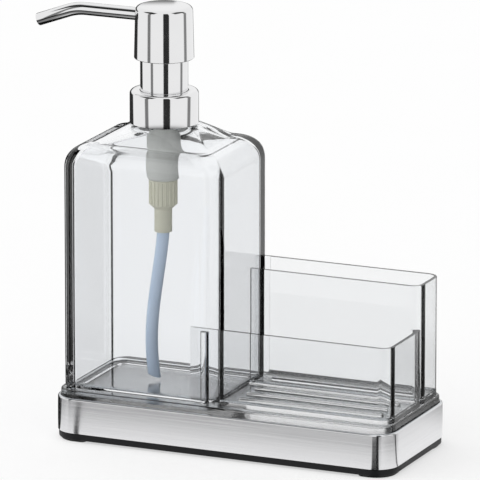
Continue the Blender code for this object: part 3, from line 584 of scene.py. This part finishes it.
blackTone = ((0.008, 0.008, 0.009), (0.014, 0.014, 0.015))
rubberTone = ((0.008, 0.008, 0.008), (0.014, 0.014, 0.013))
glassTint = ((0.957, 0.967, 0.980), (0.968, 0.977, 0.987))
clearTint = ((0.965, 0.972, 0.978), (0.975, 0.981, 0.986))
looks = dict(
    steelSides=brushedSteel("steel_sides", (14, 14, 1500), 0.98, (0.72, 0.72, 0.735), (0.80, 0.80, 0.81)),
    # the flat faces take the same brushed steel in a darker tone: painted shade on the dish under the clear
    # slab
    steelTopShade=brushedSteel("steel_top_painted_shade", (14, 1300, 1300), 0.0, (0.55, 0.57, 0.59), (0.63, 0.65, 0.665)),
    polished=polishedSteel("polished_steel", (0.78, 0.78, 0.785), (0.82, 0.82, 0.825)),
    base=mouldedPlastic("base_plastic", *blackTone, 0.45, Specular_IOR_Level=0.15),
    rubber=mouldedPlastic("foot_rubber", *rubberTone, 0.72, 1500.0, Specular_IOR_Level=0.2),
    glass=clearSolid("bottle_glass", 1.5, *glassTint, 0.01 * mm, 26.0),
    acrylic=clearSolid("clear_acrylic", 1.49, *clearTint, 0.006 * mm, 30.0),
    frosted=clearSolid("frosted_acrylic", 1.49, *clearTint, 0.01 * mm, 400.0, 0.18),
    white=mouldedPlastic("white_plastic", (0.76, 0.76, 0.73), (0.82, 0.82, 0.79), 0.38),
    seal=mouldedPlastic("seal_rubber", (0.50, 0.50, 0.48), (0.58, 0.58, 0.56), 0.6),
    barrel=mouldedPlastic("barrel_plastic", (0.62, 0.635, 0.60), (0.70, 0.71, 0.68), 0.3),
    cream=mouldedPlastic("cream_plastic", (0.70, 0.69, 0.55), (0.76, 0.75, 0.61), 0.38),
    tube=mouldedPlastic("tube_plastic", (0.60, 0.75, 0.95), (0.70, 0.82, 0.98), 0.22),
)
print("finishes made:", len(looks))


# Steel tray

steelTray = dict(
    corner=13 * mm,
    sheet=0.8 * mm,
    hem=0.15 * mm,
    heel=0.2 * mm,
    rim=1.6 * mm,
    rimRound=1.15 * mm,
    innerRound=0.35 * mm,
    dishDepth=4 * mm,
    dishFillet=0.9 * mm,
    bulge=0.10 * mm,
    sideSteps=8,
    flat=0.6,
)


def trayOutline(inset):
    radius = steelTray["corner"] - inset
    left, right = trayLow[0] + inset, trayHigh[0] - inset
    front, back = trayLow[1] + inset, trayHigh[1] - inset
    return outline(left, right, front, back, (radius,) * 4, steps=14)


def trayLoft(levels):
    return loft(flatLevels([(trayOutline(inset), z) for inset, z in levels]))


# flat faces get the darker steel, which is painted shade
def topOrSide(face):
    return int(abs(face.normal.z) > steelTray["flat"])


def makeTray():
    s = steelTray
    foot, top = trayLow[2], trayHigh[2]
    dish = top - s["dishDepth"]
    # up the inside of the cover, round its hem, up the outside, over the rim and down into the dish
    levels = [(s["sheet"], dish - s["sheet"]), (s["sheet"], foot + s["hem"])]
    levels += [(s["sheet"] - s["hem"], foot), (s["heel"], foot)]
    low, high = foot + s["heel"], top - s["rimRound"]
    for step in range(s["sideSteps"] + 1):
        share = step / s["sideSteps"]
        bow = s["bulge"] * (2 * share - 1) ** 2
        levels.append((bow, low + (high - low) * share))
    edge = levels[-1][0]
    for angle in quarter(7)[1:]:
        levels.append((edge + s["rimRound"] * (1 - cos(angle)), high + s["rimRound"] * sin(angle)))
    for angle in quarter(4):
        drop = s["innerRound"] * (1 - cos(angle))
        levels.append((s["rim"] - s["innerRound"] * (1 - sin(angle)), top - drop))
    for angle in quarter(6):
        inset = s["rim"] + s["dishFillet"] * (1 - cos(angle))
        levels.append((inset, dish + s["dishFillet"] * (1 - sin(angle))))
    both = [looks["steelSides"], looks["steelTopShade"]]
    finishPiece(
        "steel_tray", trayLoft(levels), both, "tray", ["tray_shell"],
        sharp=40, pick=topOrSide, flatten=True,
    )


makeTray()


# Black base and its feet

blackBase = dict(inset=0.6 * mm, fit=1.1 * mm, round=0.5 * mm, wall=2.4 * mm, plate=2.0 * mm, post=22.5 * mm)
feet = dict(side=18 * mm, inset=1.8 * mm, height=2.6 * mm, corner=3 * mm, round=0.5 * mm)
baseRibs = dict(count=3, width=1.8 * mm, height=4 * mm)


def footOutline(right, back, grow):
    near, far = feet["inset"] - grow, feet["inset"] + feet["side"] + grow
    xRange = (trayHigh[0] - far, trayHigh[0] - near) if right else (trayLow[0] + near, trayLow[0] + far)
    yRange = (trayHigh[1] - far, trayHigh[1] - near) if back else (trayLow[1] + near, trayLow[1] + far)
    # the corner that follows the tray's own
    outermost = {(True, False): 0, (True, True): 1, (False, True): 2, (False, False): 3}[right, back]
    outer, inner = steelTray["corner"] - near, feet["corner"] + grow
    radii = [outer if i == outermost else inner for i in range(4)]
    return outline(*xRange, *yRange, radii, steps=8)


def makeFoot(right, back):
    name = ("back" if back else "front") + ("_right" if right else "_left")
    levels = []
    for angle in quarter(4):
        drawn = feet["round"] * (1 - sin(angle))
        levels.append((footOutline(right, back, -drawn), feet["round"] * (1 - cos(angle))))
    levels.append((footOutline(right, back, 0), feet["height"]))
    bm = loft(flatLevels(levels))
    finishPiece("pad_" + name, bm, [looks["rubber"]], "tray", ["foot_" + name])


def makeBase():
    s = blackBase
    low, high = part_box("tray_base")
    ledge = trayLow[2] - gap
    levels = []
    for angle in quarter(4):
        levels.append((s["inset"] + s["round"] * (1 - sin(angle)), low[2] + s["round"] * (1 - cos(angle))))
    levels += [(s["inset"], ledge), (s["fit"], ledge), (s["fit"], high[2])]
    base = trayLoft(levels)
    # one hollow from below that leaves a post in each corner
    ceiling = high[2] - s["plate"]
    reach = trayHigh[1] - s["wall"] - s["fit"]
    between = trayHigh[1] - s["post"]
    left, right = trayLow[0] + s["post"], trayHigh[0] - s["post"]
    farLeft, farRight = trayLow[0] + s["wall"] + s["fit"], trayHigh[0] - s["wall"] - s["fit"]
    corners = (feet["corner"],) * 4
    long = outline(farLeft, farRight, -between, between, corners, steps=6)
    wide = outline(left, right, -reach, reach, corners, steps=6)
    steps = [("DIFFERENCE", prism(places, -beyond, ceiling)) for places in (long, wide)]
    half = baseRibs["width"] / 2
    for number in range(baseRibs["count"]):
        x = left + (right - left) * (number + 1) / (baseRibs["count"] + 1)
        places = outline(x - half, x + half, -reach - half, reach + half, (half / 2,) * 4, steps=4)
        steps.append(("UNION", prism(places, ceiling - baseRibs["height"], ceiling + s["plate"] / 2)))
    for isRight in (False, True):
        for isBack in (False, True):
            pocket = footOutline(isRight, isBack, gap)
            steps.append(("DIFFERENCE", prism(pocket, -beyond, feet["height"] + gap)))
            makeFoot(isRight, isBack)
    bm = carved(base, steps)
    finishPiece("black_base", bm, [looks["base"]], "tray", ["tray_base"])


makeBase()
print("tray, base and feet made")


# Clear organizer

walls = dict(
    thick=2.0 * mm,
    insetFront=6.8 * mm,
    insetEnd=2.9 * mm,
    corner=7.5 * mm,
    innerCorner=4.2 * mm,
    wingCorner=15 * mm,
    frontWing=86.1 * mm,
    rearWing=92.0 * mm,
    partition=0.5765,
    frontRim=70.7 * mm,
    rearRim=95.0 * mm,
    rimRound=0.9 * mm,
    wingRound=0.6 * mm,
    fillet=2.2 * mm,
    pastBottle=2 * mm,
)
slab = dict(
    inset=1.9 * mm,
    proud=4 * mm,
    round=1.2 * mm,
    edge=0.25 * mm,
    recess=4.2 * mm,
    recessRound=0.35 * mm,
    lift=1.5 * mm,
)
# a rod-like bead at the end of the front wing
bead = dict(start=0.9 * mm, radius=2.3 * mm, out=0.9 * mm, drop=1.35 * mm, steps=40)
floorRibs = dict(
    front=3,
    rear=1,
    width=4.0 * mm,
    height=1.8 * mm,
    pitch=11 * mm,
    endGap=7 * mm,
    round=1.3 * mm,
    endRound=0.98,
)
bottle = dict(
    length=92 * mm,
    depth=68 * mm,
    # the upright edges: front right, back right, back left, front left
    corners=(11.0 * mm, 4.0 * mm, 5.5 * mm, 5.5 * mm),
    innerCorners=(7.0 * mm, 3.0 * mm, 8.0 * mm, 3.2 * mm),
    wall=4.5 * mm,
    floor=3.4 * mm,
    heelInset=2.5 * mm,
    heelHeight=5.0 * mm,
    heelSteps=8,
    pushUp=1.0 * mm,
    pushUpWaist=0.4,
    pushUpRing=11 * mm,
    shoulderStart=125.7 * mm,
    shoulder=13 * mm,
    topEdge=8 * mm,
    innerEdge=8.5 * mm,
    roofRise=8.5 * mm,
    roofRing=18.8 * mm,
    roofShares=(0.12, 0.28, 0.46, 0.64, 0.82, 1.0),
    roofEase=0.25,
    roofDrop=4.2 * mm,
    neckRise=1.4 * mm,
    neck=13 * mm,
    bore=10.9 * mm,
    lip=0.5 * mm,
)


def bottleOutline(halfLength, halfDepth, corners):
    return outline(axisX - halfLength, axisX + halfLength, -halfDepth, halfDepth, corners, steps=12)


def towards(corners, ring, share):
    # corner radii on their way to one ring's radius
    return [corner + (ring - corner) * share for corner in corners]


def heelInset(height):
    share = max(0, 1 - height / bottle["heelHeight"])
    return bottle["heelInset"] * (1 - sqrt(1 - share**2))


def makeOrganizer():
    s = walls
    top = trayHigh[2] + slab["proud"]
    floor = top + slab["lift"]
    boxFoot = top - slab["round"] - slab["lift"]
    left, right = trayLow[0], trayHigh[0] - s["insetEnd"]
    front, back = trayLow[1] + s["insetFront"], trayHigh[1] - s["insetFront"]
    partFront = trayLow[1] + s["partition"] * (trayHigh[1] - trayLow[1])
    partBack = partFront + s["thick"]
    frontLeft = left + s["frontWing"] - s["wingCorner"]
    rearLeft = left + s["rearWing"] - s["wingCorner"]
    thick, corner, wing = s["thick"], s["corner"], s["wingCorner"]
    places = outline(frontLeft, right, front, partBack, (corner, thick, thick, wing), steps=16)
    body = prism(places, boxFoot, s["frontRim"])
    places = outline(rearLeft, right, partFront, back, (corner, corner, wing, thick), steps=16)
    steps = [("UNION", prism(places, boxFoot, s["rearRim"]))]
    # the two compartments, open to the left, with a filleted floor
    pocketLeft, pocketTop = frontLeft - beyond, s["rearRim"] + beyond
    pockets = ((front + thick, partFront), (partBack, back - thick))
    for low, high in pockets:
        levels = []
        for angle in quarter(8):
            inset = s["fillet"] * (1 - sin(angle))
            radii = (s["innerCorner"] - inset,) * 4
            places = outline(pocketLeft, right - thick - inset, low + inset, high - inset, radii, steps=12)
            levels.append((places, floor + s["fillet"] * (1 - cos(angle))))
        levels.append((places, pocketTop))
        steps.append(("DIFFERENCE", loft(flatLevels(levels))))
    middle = left + s["frontWing"] + bead["start"] + bead["radius"]
    places = []
    for step in range(bead["steps"]):
        angle = step / bead["steps"] * 2 * pi
        across, along = bead["radius"] * cos(angle), bead["radius"] * sin(angle)
        places.append((middle + across, front - bead["out"] + along))
    steps.append(("UNION", prism(places, boxFoot, s["frontRim"] - bead["drop"])))
    # room for the bottle between the wings
    half = bottle["depth"] / 2 + gap
    cutRight = axisX + bottle["length"] / 2 + s["pastBottle"]
    space = outline(pocketLeft - beyond, cutRight, -half, half, (gap,) * 4, steps=3)
    steps.append(("DIFFERENCE", prism(space, boxFoot - beyond, pocketTop)))
    levels = [(slab["inset"] + slab["edge"], slabLow[2]), (slab["inset"], slabLow[2] + slab["edge"])]
    for angle in quarter(8):
        inset = slab["inset"] + slab["round"] * (1 - cos(angle))
        levels.append((inset, top - slab["round"] * (1 - sin(angle))))
    steps.append(("UNION", trayLoft(levels)))
    steps.append(("DIFFERENCE", bottleRecess(top)))
    steps += floorRibTools(pockets, top, floor, cutRight, right - thick)
    bm = carved(body, steps)
    rims = (s["frontRim"], s["rearRim"])
    softenRims(bm, rims, s["rimRound"], cutRight, right)
    softenRims(bm, rims, s["wingRound"], left, cutRight)
    both = [looks["acrylic"], looks["frosted"]]
    finishPiece(
        "clear_organizer", bm, both, "organizer", ["organizer_insert"],
        sharp=50, pick=underside, flatten=True,
    )


def underside(face):
    # the slab's underside is fine textured
    return int(face.normal.z < -0.9 and face.calc_center_median().z < slabLow[2] + slab["edge"] / 2)


def bottleRecess(top):
    # the pocket in the slab that the bottle's heel stands in
    foot = slabLow[2] + slab["recess"]
    grow = gap - heelInset(top - foot - gap)
    levels = [(0, foot), (0, top - slab["recessRound"])]
    for angle in quarter(4)[1:]:
        wide = slab["recessRound"] * (1 - cos(angle))
        levels.append((wide, top - slab["recessRound"] * (1 - sin(angle))))
    levels.append((slab["recessRound"], top + beyond))
    rings = []
    for wide, z in levels:
        more = grow + wide
        corners = [corner + more for corner in bottle["corners"]]
        rings.append((bottleOutline(bottle["length"] / 2 + more, bottle["depth"] / 2 + more, corners), z))
    return loft(flatLevels(rings))


def floorRibTools(pockets, top, floor, wallLeft, wallRight):
    s = floorRibs
    left, right = wallLeft + s["endGap"], wallRight - s["endGap"]
    crest = floor + s["height"]
    levels = [(0, top)]
    for angle in quarter(6):
        levels.append((s["round"] * (1 - cos(angle)), crest - s["round"] * (1 - sin(angle))))
    tools = []
    for (low, high), count in zip(pockets, (s["front"], s["rear"])):
        for number in range(count):
            y = (low + high) / 2 + (number - (count - 1) / 2) * s["pitch"]
            rings = []
            for drawn, z in levels:
                half = s["width"] / 2 - drawn
                radii = (half * s["endRound"],) * 4
                rings.append((outline(left + drawn, right - drawn, y - half, y + half, radii, steps=8), z))
            tools.append(("UNION", loft(flatLevels(rings))))
    return tools


def softenRims(bm, rims, radius, start, end):
    # rounds the edges round each wall's top, from one x to another
    near = 0.01 * mm
    bm.normal_update()
    chosen = []
    for edge in bm.edges:
        ends = [vert.co for vert in edge.verts]
        inside = all(start - near < place.x < end + near for place in ends)
        onRim = all(min(abs(place.z - rim) for rim in rims) < near for place in ends)
        flat = abs(ends[0].z - ends[1].z) < near
        if inside and onRim and flat and len(edge.link_faces) == 2 and edge.calc_face_angle(0) > radians(60):
            chosen.append(edge)
    bmesh.ops.bevel(
        bm, geom=chosen, offset=radius, offset_type="OFFSET", segments=4, profile=0.5, affect="EDGES",
        clamp_overlap=True, material=-1,
    )


makeOrganizer()
print("organizer made")


# Bottle


def edgeInset(z, top, radius):
    # how far a rounded edge draws in at this height
    up = max(0, z - (top - radius))
    return radius - sqrt(max(0, radius**2 - up**2))


def roofHeight(low, high, share):
    # climbs evenly, with a little ease at both ends
    ease = bottle["roofEase"]
    smooth = share * share * (3 - 2 * share)
    return low + (high - low) * ((1 - ease) * share + ease * smooth)


def makeBottle():
    s = bottle
    foot = bottleLow[2]
    halfLength, halfDepth = s["length"] / 2, s["depth"] / 2
    shoulder = foot + s["shoulderStart"]
    shoulderTop = shoulder + s["shoulder"]
    roofTop = shoulderTop + s["roofRise"]
    neckTop = bottleHigh[2]
    rings = []

    def add(length, depth, corners, z):
        rings.append((bottleOutline(length, depth, corners), z))

    def addRound(radius, z):
        add(radius, radius, (radius,) * 4, z)

    # underside, a shallow dome inside a resting ring
    deep, shallow = s["pushUpRing"], (s["pushUpRing"] + s["heelInset"]) / 2
    waist = (deep + shallow) / 2
    for inset, height in ((deep, s["pushUp"]), (waist, s["pushUp"] * s["pushUpWaist"]), (shallow, 0)):
        add(halfLength - inset, halfDepth - inset, s["corners"], foot + height)
    # outside, from the heel up to the neck
    for step in range(s["heelSteps"] + 1):
        height = s["heelHeight"] * (step / s["heelSteps"]) ** 2
        inset = heelInset(height)
        add(halfLength - inset, halfDepth - inset, s["corners"], foot + height)
    for angle in quarter(12):
        z = shoulder + s["shoulder"] * sin(angle)
        length = halfLength - s["shoulder"] * (1 - cos(angle))
        add(length, halfDepth - edgeInset(z, shoulderTop, s["topEdge"]), s["corners"], z)
    ring = s["roofRing"]
    fromLength, fromDepth = halfLength - s["shoulder"], halfDepth - s["topEdge"]
    for share in s["roofShares"]:
        length, depth = towards((fromLength, fromDepth), ring, share)
        z = roofHeight(shoulderTop, roofTop, share)
        add(length, depth, towards(s["corners"], ring, share), z)
    for angle in quarter(4)[1:]:
        addRound(ring - (ring - s["neck"]) * sin(angle), roofTop + s["neckRise"] * (1 - cos(angle)))
    addRound(s["neck"], neckTop - s["lip"])
    for angle in quarter(3)[1:]:
        addRound(s["neck"] - s["lip"] * (1 - cos(angle)), neckTop - s["lip"] * (1 - sin(angle)))
    addRound(s["bore"] + s["lip"], neckTop)
    addRound(s["bore"], neckTop - s["lip"])
    addRound(s["bore"], roofTop)
    # inside, from under the neck down to the floor
    ring = s["roofRing"] - s["wall"]
    innerTop = roofTop - s["roofDrop"]
    innerLength, innerDepth = halfLength - s["wall"], halfDepth - s["wall"]
    innerRadius = s["shoulder"] - s["wall"]
    innerShoulder = shoulder + innerRadius
    endLength, endDepth = innerLength - innerRadius, innerDepth - s["innerEdge"]
    for share in reversed(s["roofShares"]):
        length, depth = towards((endLength, endDepth), ring, share)
        z = roofHeight(innerShoulder, innerTop, share)
        add(length, depth, towards(s["innerCorners"], ring, share), z)
    for angle in reversed(quarter(12)):
        z = shoulder + innerRadius * sin(angle)
        length = innerLength - innerRadius * (1 - cos(angle))
        add(length, innerDepth - edgeInset(z, innerShoulder, s["innerEdge"]), s["innerCorners"], z)
    for step in reversed(range(s["heelSteps"] + 1)):
        share = step / s["heelSteps"]
        inset = s["heelInset"] * (1 - sqrt(1 - (1 - share) ** 2))
        z = foot + s["floor"] + s["heelInset"] * share**2
        add(innerLength - inset, innerDepth - inset, s["innerCorners"], z)
    bm = loft(flatLevels(rings))
    finishPiece(
        "clear_bottle", bm, [looks["glass"]], "bottle", ["bottle"], sharp=60, flatten=True,
    )


makeBottle()
print("bottle made")


# Pump: what shows

collar = dict(radius=18.75 * mm, sheet=0.6 * mm, round=2.1 * mm, lip=0.22 * mm)
sleeve = dict(radius=13.0 * mm, sheet=0.6 * mm, lip=0.25 * mm)
head = dict(foot=16.3 * mm, top=15.6 * mm, sheet=0.8 * mm, round=2.7 * mm, lip=0.35 * mm)
nozzle = dict(
    radius=3.5 * mm,
    wall=0.6 * mm,
    root=4.0 * mm,
    reach=75.7 * mm,
    droop=radians(20.3),
    bend=30 * mm,
    bendSteps=12,
    tipRun=19 * mm,
    lip=0.15 * mm,
    lipTurn=0.3,
    sides=40,
)
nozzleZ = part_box("nozzle_tube")[1][2] - nozzle["radius"]


def makeCollar():
    s = collar
    low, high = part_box("collar_shell")
    inner, hole = s["radius"] - s["sheet"], sleeve["radius"] + gap
    under = high[2] - s["sheet"]
    corners = [
        (inner, low[2], s["lip"]),
        (s["radius"], low[2], s["lip"]),
        (s["radius"], high[2], s["round"]),
        (hole, high[2], s["lip"]),
        (hole, under, s["lip"]),
        (inner, under, s["round"] - s["sheet"]),
    ]
    bm = turned(softCorners(corners, steps=7))
    finishPiece("steel_collar", bm, [looks["polished"]], "collar", ["collar_shell"])


def makeSleeve():
    s = sleeve
    bore = s["radius"] - s["sheet"]
    low, high = sleeveLow[2], sleeveHigh[2]
    corners = [(bore, low, 0), (s["radius"], low, 0), (s["radius"], high, s["lip"]), (bore, high, s["lip"])]
    bm = turned(softCorners(corners, steps=4))
    finishPiece("steel_sleeve", bm, [looks["polished"]], "pump", ["guide_sleeve"])


def makeHead():
    s = head
    low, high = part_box("head_shell")
    under = high[2] - s["sheet"]
    corners = [
        (0, high[2], 0),
        (s["top"], high[2], s["round"]),
        (s["foot"], low[2], s["lip"]),
        (s["foot"] - s["sheet"], low[2], s["lip"]),
        (s["top"] - s["sheet"], under, s["round"] - s["sheet"]),
        (0, under, 0),
    ]
    shell = turned(softCorners(corners, steps=9))
    # the port that the nozzle comes out of
    port = bmesh.new()
    turn = Matrix.Translation((axisX - s["foot"], 0, nozzleZ)) @ Matrix.Rotation(pi / 2, 4, "Y")
    radius = nozzle["radius"] + gap
    bmesh.ops.create_cone(
        port, cap_ends=True, segments=48, radius1=radius, radius2=radius, depth=s["foot"], matrix=turn,
    )
    bm = carved(shell, [("DIFFERENCE", port)])
    finishPiece("steel_head", bm, [looks["polished"]], "head", ["head_shell"])


def nozzlePath():
    s = nozzle
    tip = axisX - s["reach"] + s["radius"] * sin(s["droop"])
    bendEnd = tip + s["tipRun"] * cos(s["droop"])
    bendStart = bendEnd + s["bend"] * sin(s["droop"])
    points = [Vector((axisX - s["root"], 0, nozzleZ))]
    for step in range(s["bendSteps"] + 1):
        angle = step / s["bendSteps"] * s["droop"]
        across, down = s["bend"] * sin(angle), s["bend"] * (1 - cos(angle))
        points.append(Vector((bendStart - across, 0, nozzleZ - down)))
    points.append(points[-1] + Vector((-cos(s["droop"]), 0, -sin(s["droop"]))) * s["tipRun"])
    return points


def makeNozzle():
    s = nozzle
    points = nozzlePath()
    last = points.pop()
    back = (points[-1] - last).normalized() * s["lip"]
    bore, turn = s["radius"] - s["wall"], s["lip"] * s["lipTurn"]
    path = points + [last + back, last + back * s["lipTurn"], last]
    straight = len(points) + 1
    outerRadii = [s["radius"]] * straight + [s["radius"] - turn, s["radius"] - s["lip"]]
    innerRadii = [bore] * straight + [bore + turn, bore + s["lip"]]
    outer = alongPath(path, outerRadii, s["sides"])
    inner = alongPath(path, innerRadii, s["sides"])
    bm = loft(outer + inner[::-1], closed=True)
    finishPiece("steel_nozzle", bm, [looks["polished"]], "head", ["nozzle_tube"])


makeCollar()
makeSleeve()
makeHead()
makeNozzle()
print("collar, sleeve, head and nozzle made")


# Pump: barrel, connector and dip tube inside the bottle

barrel = dict(
    radius=8.85 * mm,
    bore=8.0 * mm,
    chamfer=0.5 * mm,
    footSoft=0.15 * mm,
    soft=0.2 * mm,
    flange=12.7 * mm,
    flangeThick=1.2 * mm,
    flangeSoft=0.1 * mm,
)
connector = dict(
    radius=7.85 * mm,
    narrow=4.85 * mm,
    spigot=7.7 * mm,
    spigotBore=6.4 * mm,
    spigotLength=4.0 * mm,
    chamber=3.2 * mm,
    chamberDepth=5.5 * mm,
    seat=1.8 * mm,
    seatLength=3.0 * mm,
    socket=3.7 * mm,
    floorDepth=2.5 * mm,
    wide=14.0 * mm,
    taper=2.4 * mm,
    taperSoft=0.4 * mm,
    waistSoft=0.3 * mm,
    footSoft=0.25 * mm,
    bandSoft=0.15 * mm,
    soft=0.1 * mm,
    band=0.9 * mm,
)
# fine upright ribs for gripping the connector when it is pressed on
gripRibs = dict(
    count=20,
    height=0.45 * mm,
    width=0.9 * mm,
    soft=0.3 * mm,
    rootSoft=0.1 * mm,
    start=0.2 * mm,
    end=0.5 * mm,
)
dipTube = dict(
    radius=3.4 * mm,
    wall=0.8 * mm,
    sway=7.0 * mm,
    swayPeak=0.75,
    swayPower=1.3,
    slant=radians(35),
    steps=40,
)


def makeBarrel():
    s = barrel
    low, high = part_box("pump_barrel")
    under = high[2] - s["flangeThick"]
    corners = [
        (s["bore"], low[2], 0),
        (s["radius"] - s["chamfer"], low[2], s["footSoft"]),
        (s["radius"], low[2] + 2 * s["chamfer"], s["soft"]),
        (s["radius"], under, s["soft"]),
        (s["flange"], under, s["flangeSoft"]),
        (s["flange"], high[2], s["flangeSoft"]),
        (s["bore"], high[2], 0),
    ]
    bm = turned(softCorners(corners, steps=4))
    finishPiece("pump_cylinder", bm, [looks["barrel"]], "pump", ["pump_barrel"])


def makeConnector():
    s = connector
    low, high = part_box("tube_connector")
    shoulder = high[2] - s["spigotLength"]
    springFloor = shoulder - s["floorDepth"]
    seatTop = springFloor - s["chamberDepth"]
    socketTop = seatTop - s["seatLength"]
    taperTop = shoulder - s["wide"]
    bandFoot = shoulder - s["band"]
    skin = s["radius"] - gripRibs["height"]
    corners = [
        (s["spigotBore"], high[2], 0),
        (s["spigotBore"], springFloor, 0),
        (s["chamber"], springFloor, 0),
        (s["chamber"], seatTop, 0),
        (s["seat"], seatTop, 0),
        (s["seat"], socketTop, 0),
        (s["socket"], socketTop, 0),
        (s["socket"], low[2], s["soft"]),
        (s["narrow"], low[2], s["footSoft"]),
        (s["narrow"], taperTop - s["taper"], s["waistSoft"]),
        (skin, taperTop, s["taperSoft"]),
        (skin, bandFoot, s["soft"]),
        (s["radius"], bandFoot, s["soft"]),
        (s["radius"], shoulder, s["bandSoft"]),
        (s["spigot"], shoulder, 0),
        (s["spigot"], high[2], 0),
    ]
    bm = turned(softCorners(corners, steps=4))
    rib = gripRibs
    radii = (rib["soft"], rib["rootSoft"], rib["rootSoft"], rib["soft"])
    places = outline(-rib["width"] / 2, rib["width"] / 2, 0, rib["height"] * 2, radii, steps=3)
    tools = []
    for number in range(rib["count"]):
        bar = prism(places, taperTop + rib["start"], shoulder - rib["end"])
        bmesh.ops.translate(bar, verts=bar.verts, vec=(0, -s["radius"], 0))
        spin = Matrix.Rotation(2 * pi * number / rib["count"], 3, "Z")
        bmesh.ops.rotate(bar, verts=bar.verts, cent=(0, 0, 0), matrix=spin)
        bmesh.ops.translate(bar, verts=bar.verts, vec=(axisX, 0, 0))
        tools.append(("UNION", bar))
    bm = carved(bm, tools)
    finishPiece("ribbed_connector", bm, [looks["cream"]], "pump", ["tube_connector"])


def makeDipTube():
    s = dipTube
    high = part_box("dip_tube")[1][2]
    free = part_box("tube_connector")[0][2]
    lean = tan(s["slant"]) / 2
    end = bottleLow[2] + bottle["floor"] + gap + s["radius"] * lean
    points = [Vector((axisX, 0, high)), Vector((axisX, 0, (high + free) / 2))]
    for step in range(s["steps"] + 1):
        share = step / s["steps"]
        sway = s["sway"] * sin(pi / 2 * (share / s["swayPeak"]) ** s["swayPower"])
        points.append(Vector((axisX - sway, 0, free + share * (end - free))))
    outer = alongPath(points, [s["radius"]] * len(points))
    inner = alongPath(points, [s["radius"] - s["wall"]] * len(points))
    # the end is cut at a slant
    for place in outer[-1] + inner[-1]:
        place.z = end + lean * (s["radius"] - place.x + points[-1].x)
    bm = loft(outer + inner[::-1], closed=True)
    finishPiece("bent_dip_tube", bm, [looks["tube"]], "pump", ["dip_tube"])


makeBarrel()
makeConnector()
makeDipTube()
print("barrel, connector and dip tube made")


# Solids that stay as they are, with their finishes

plainSolids = dict(
    closure="white",
    chaplet="white",
    piston_stem="white",
    head_core="white",
    piston_seal="seal",
    neck_gasket="seal",
    return_spring="polished",
    inlet_ball="polished",
)
for name, finish in plainSolids.items():
    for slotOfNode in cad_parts[name].material_slots:
        slotOfNode.material = looks[finish]
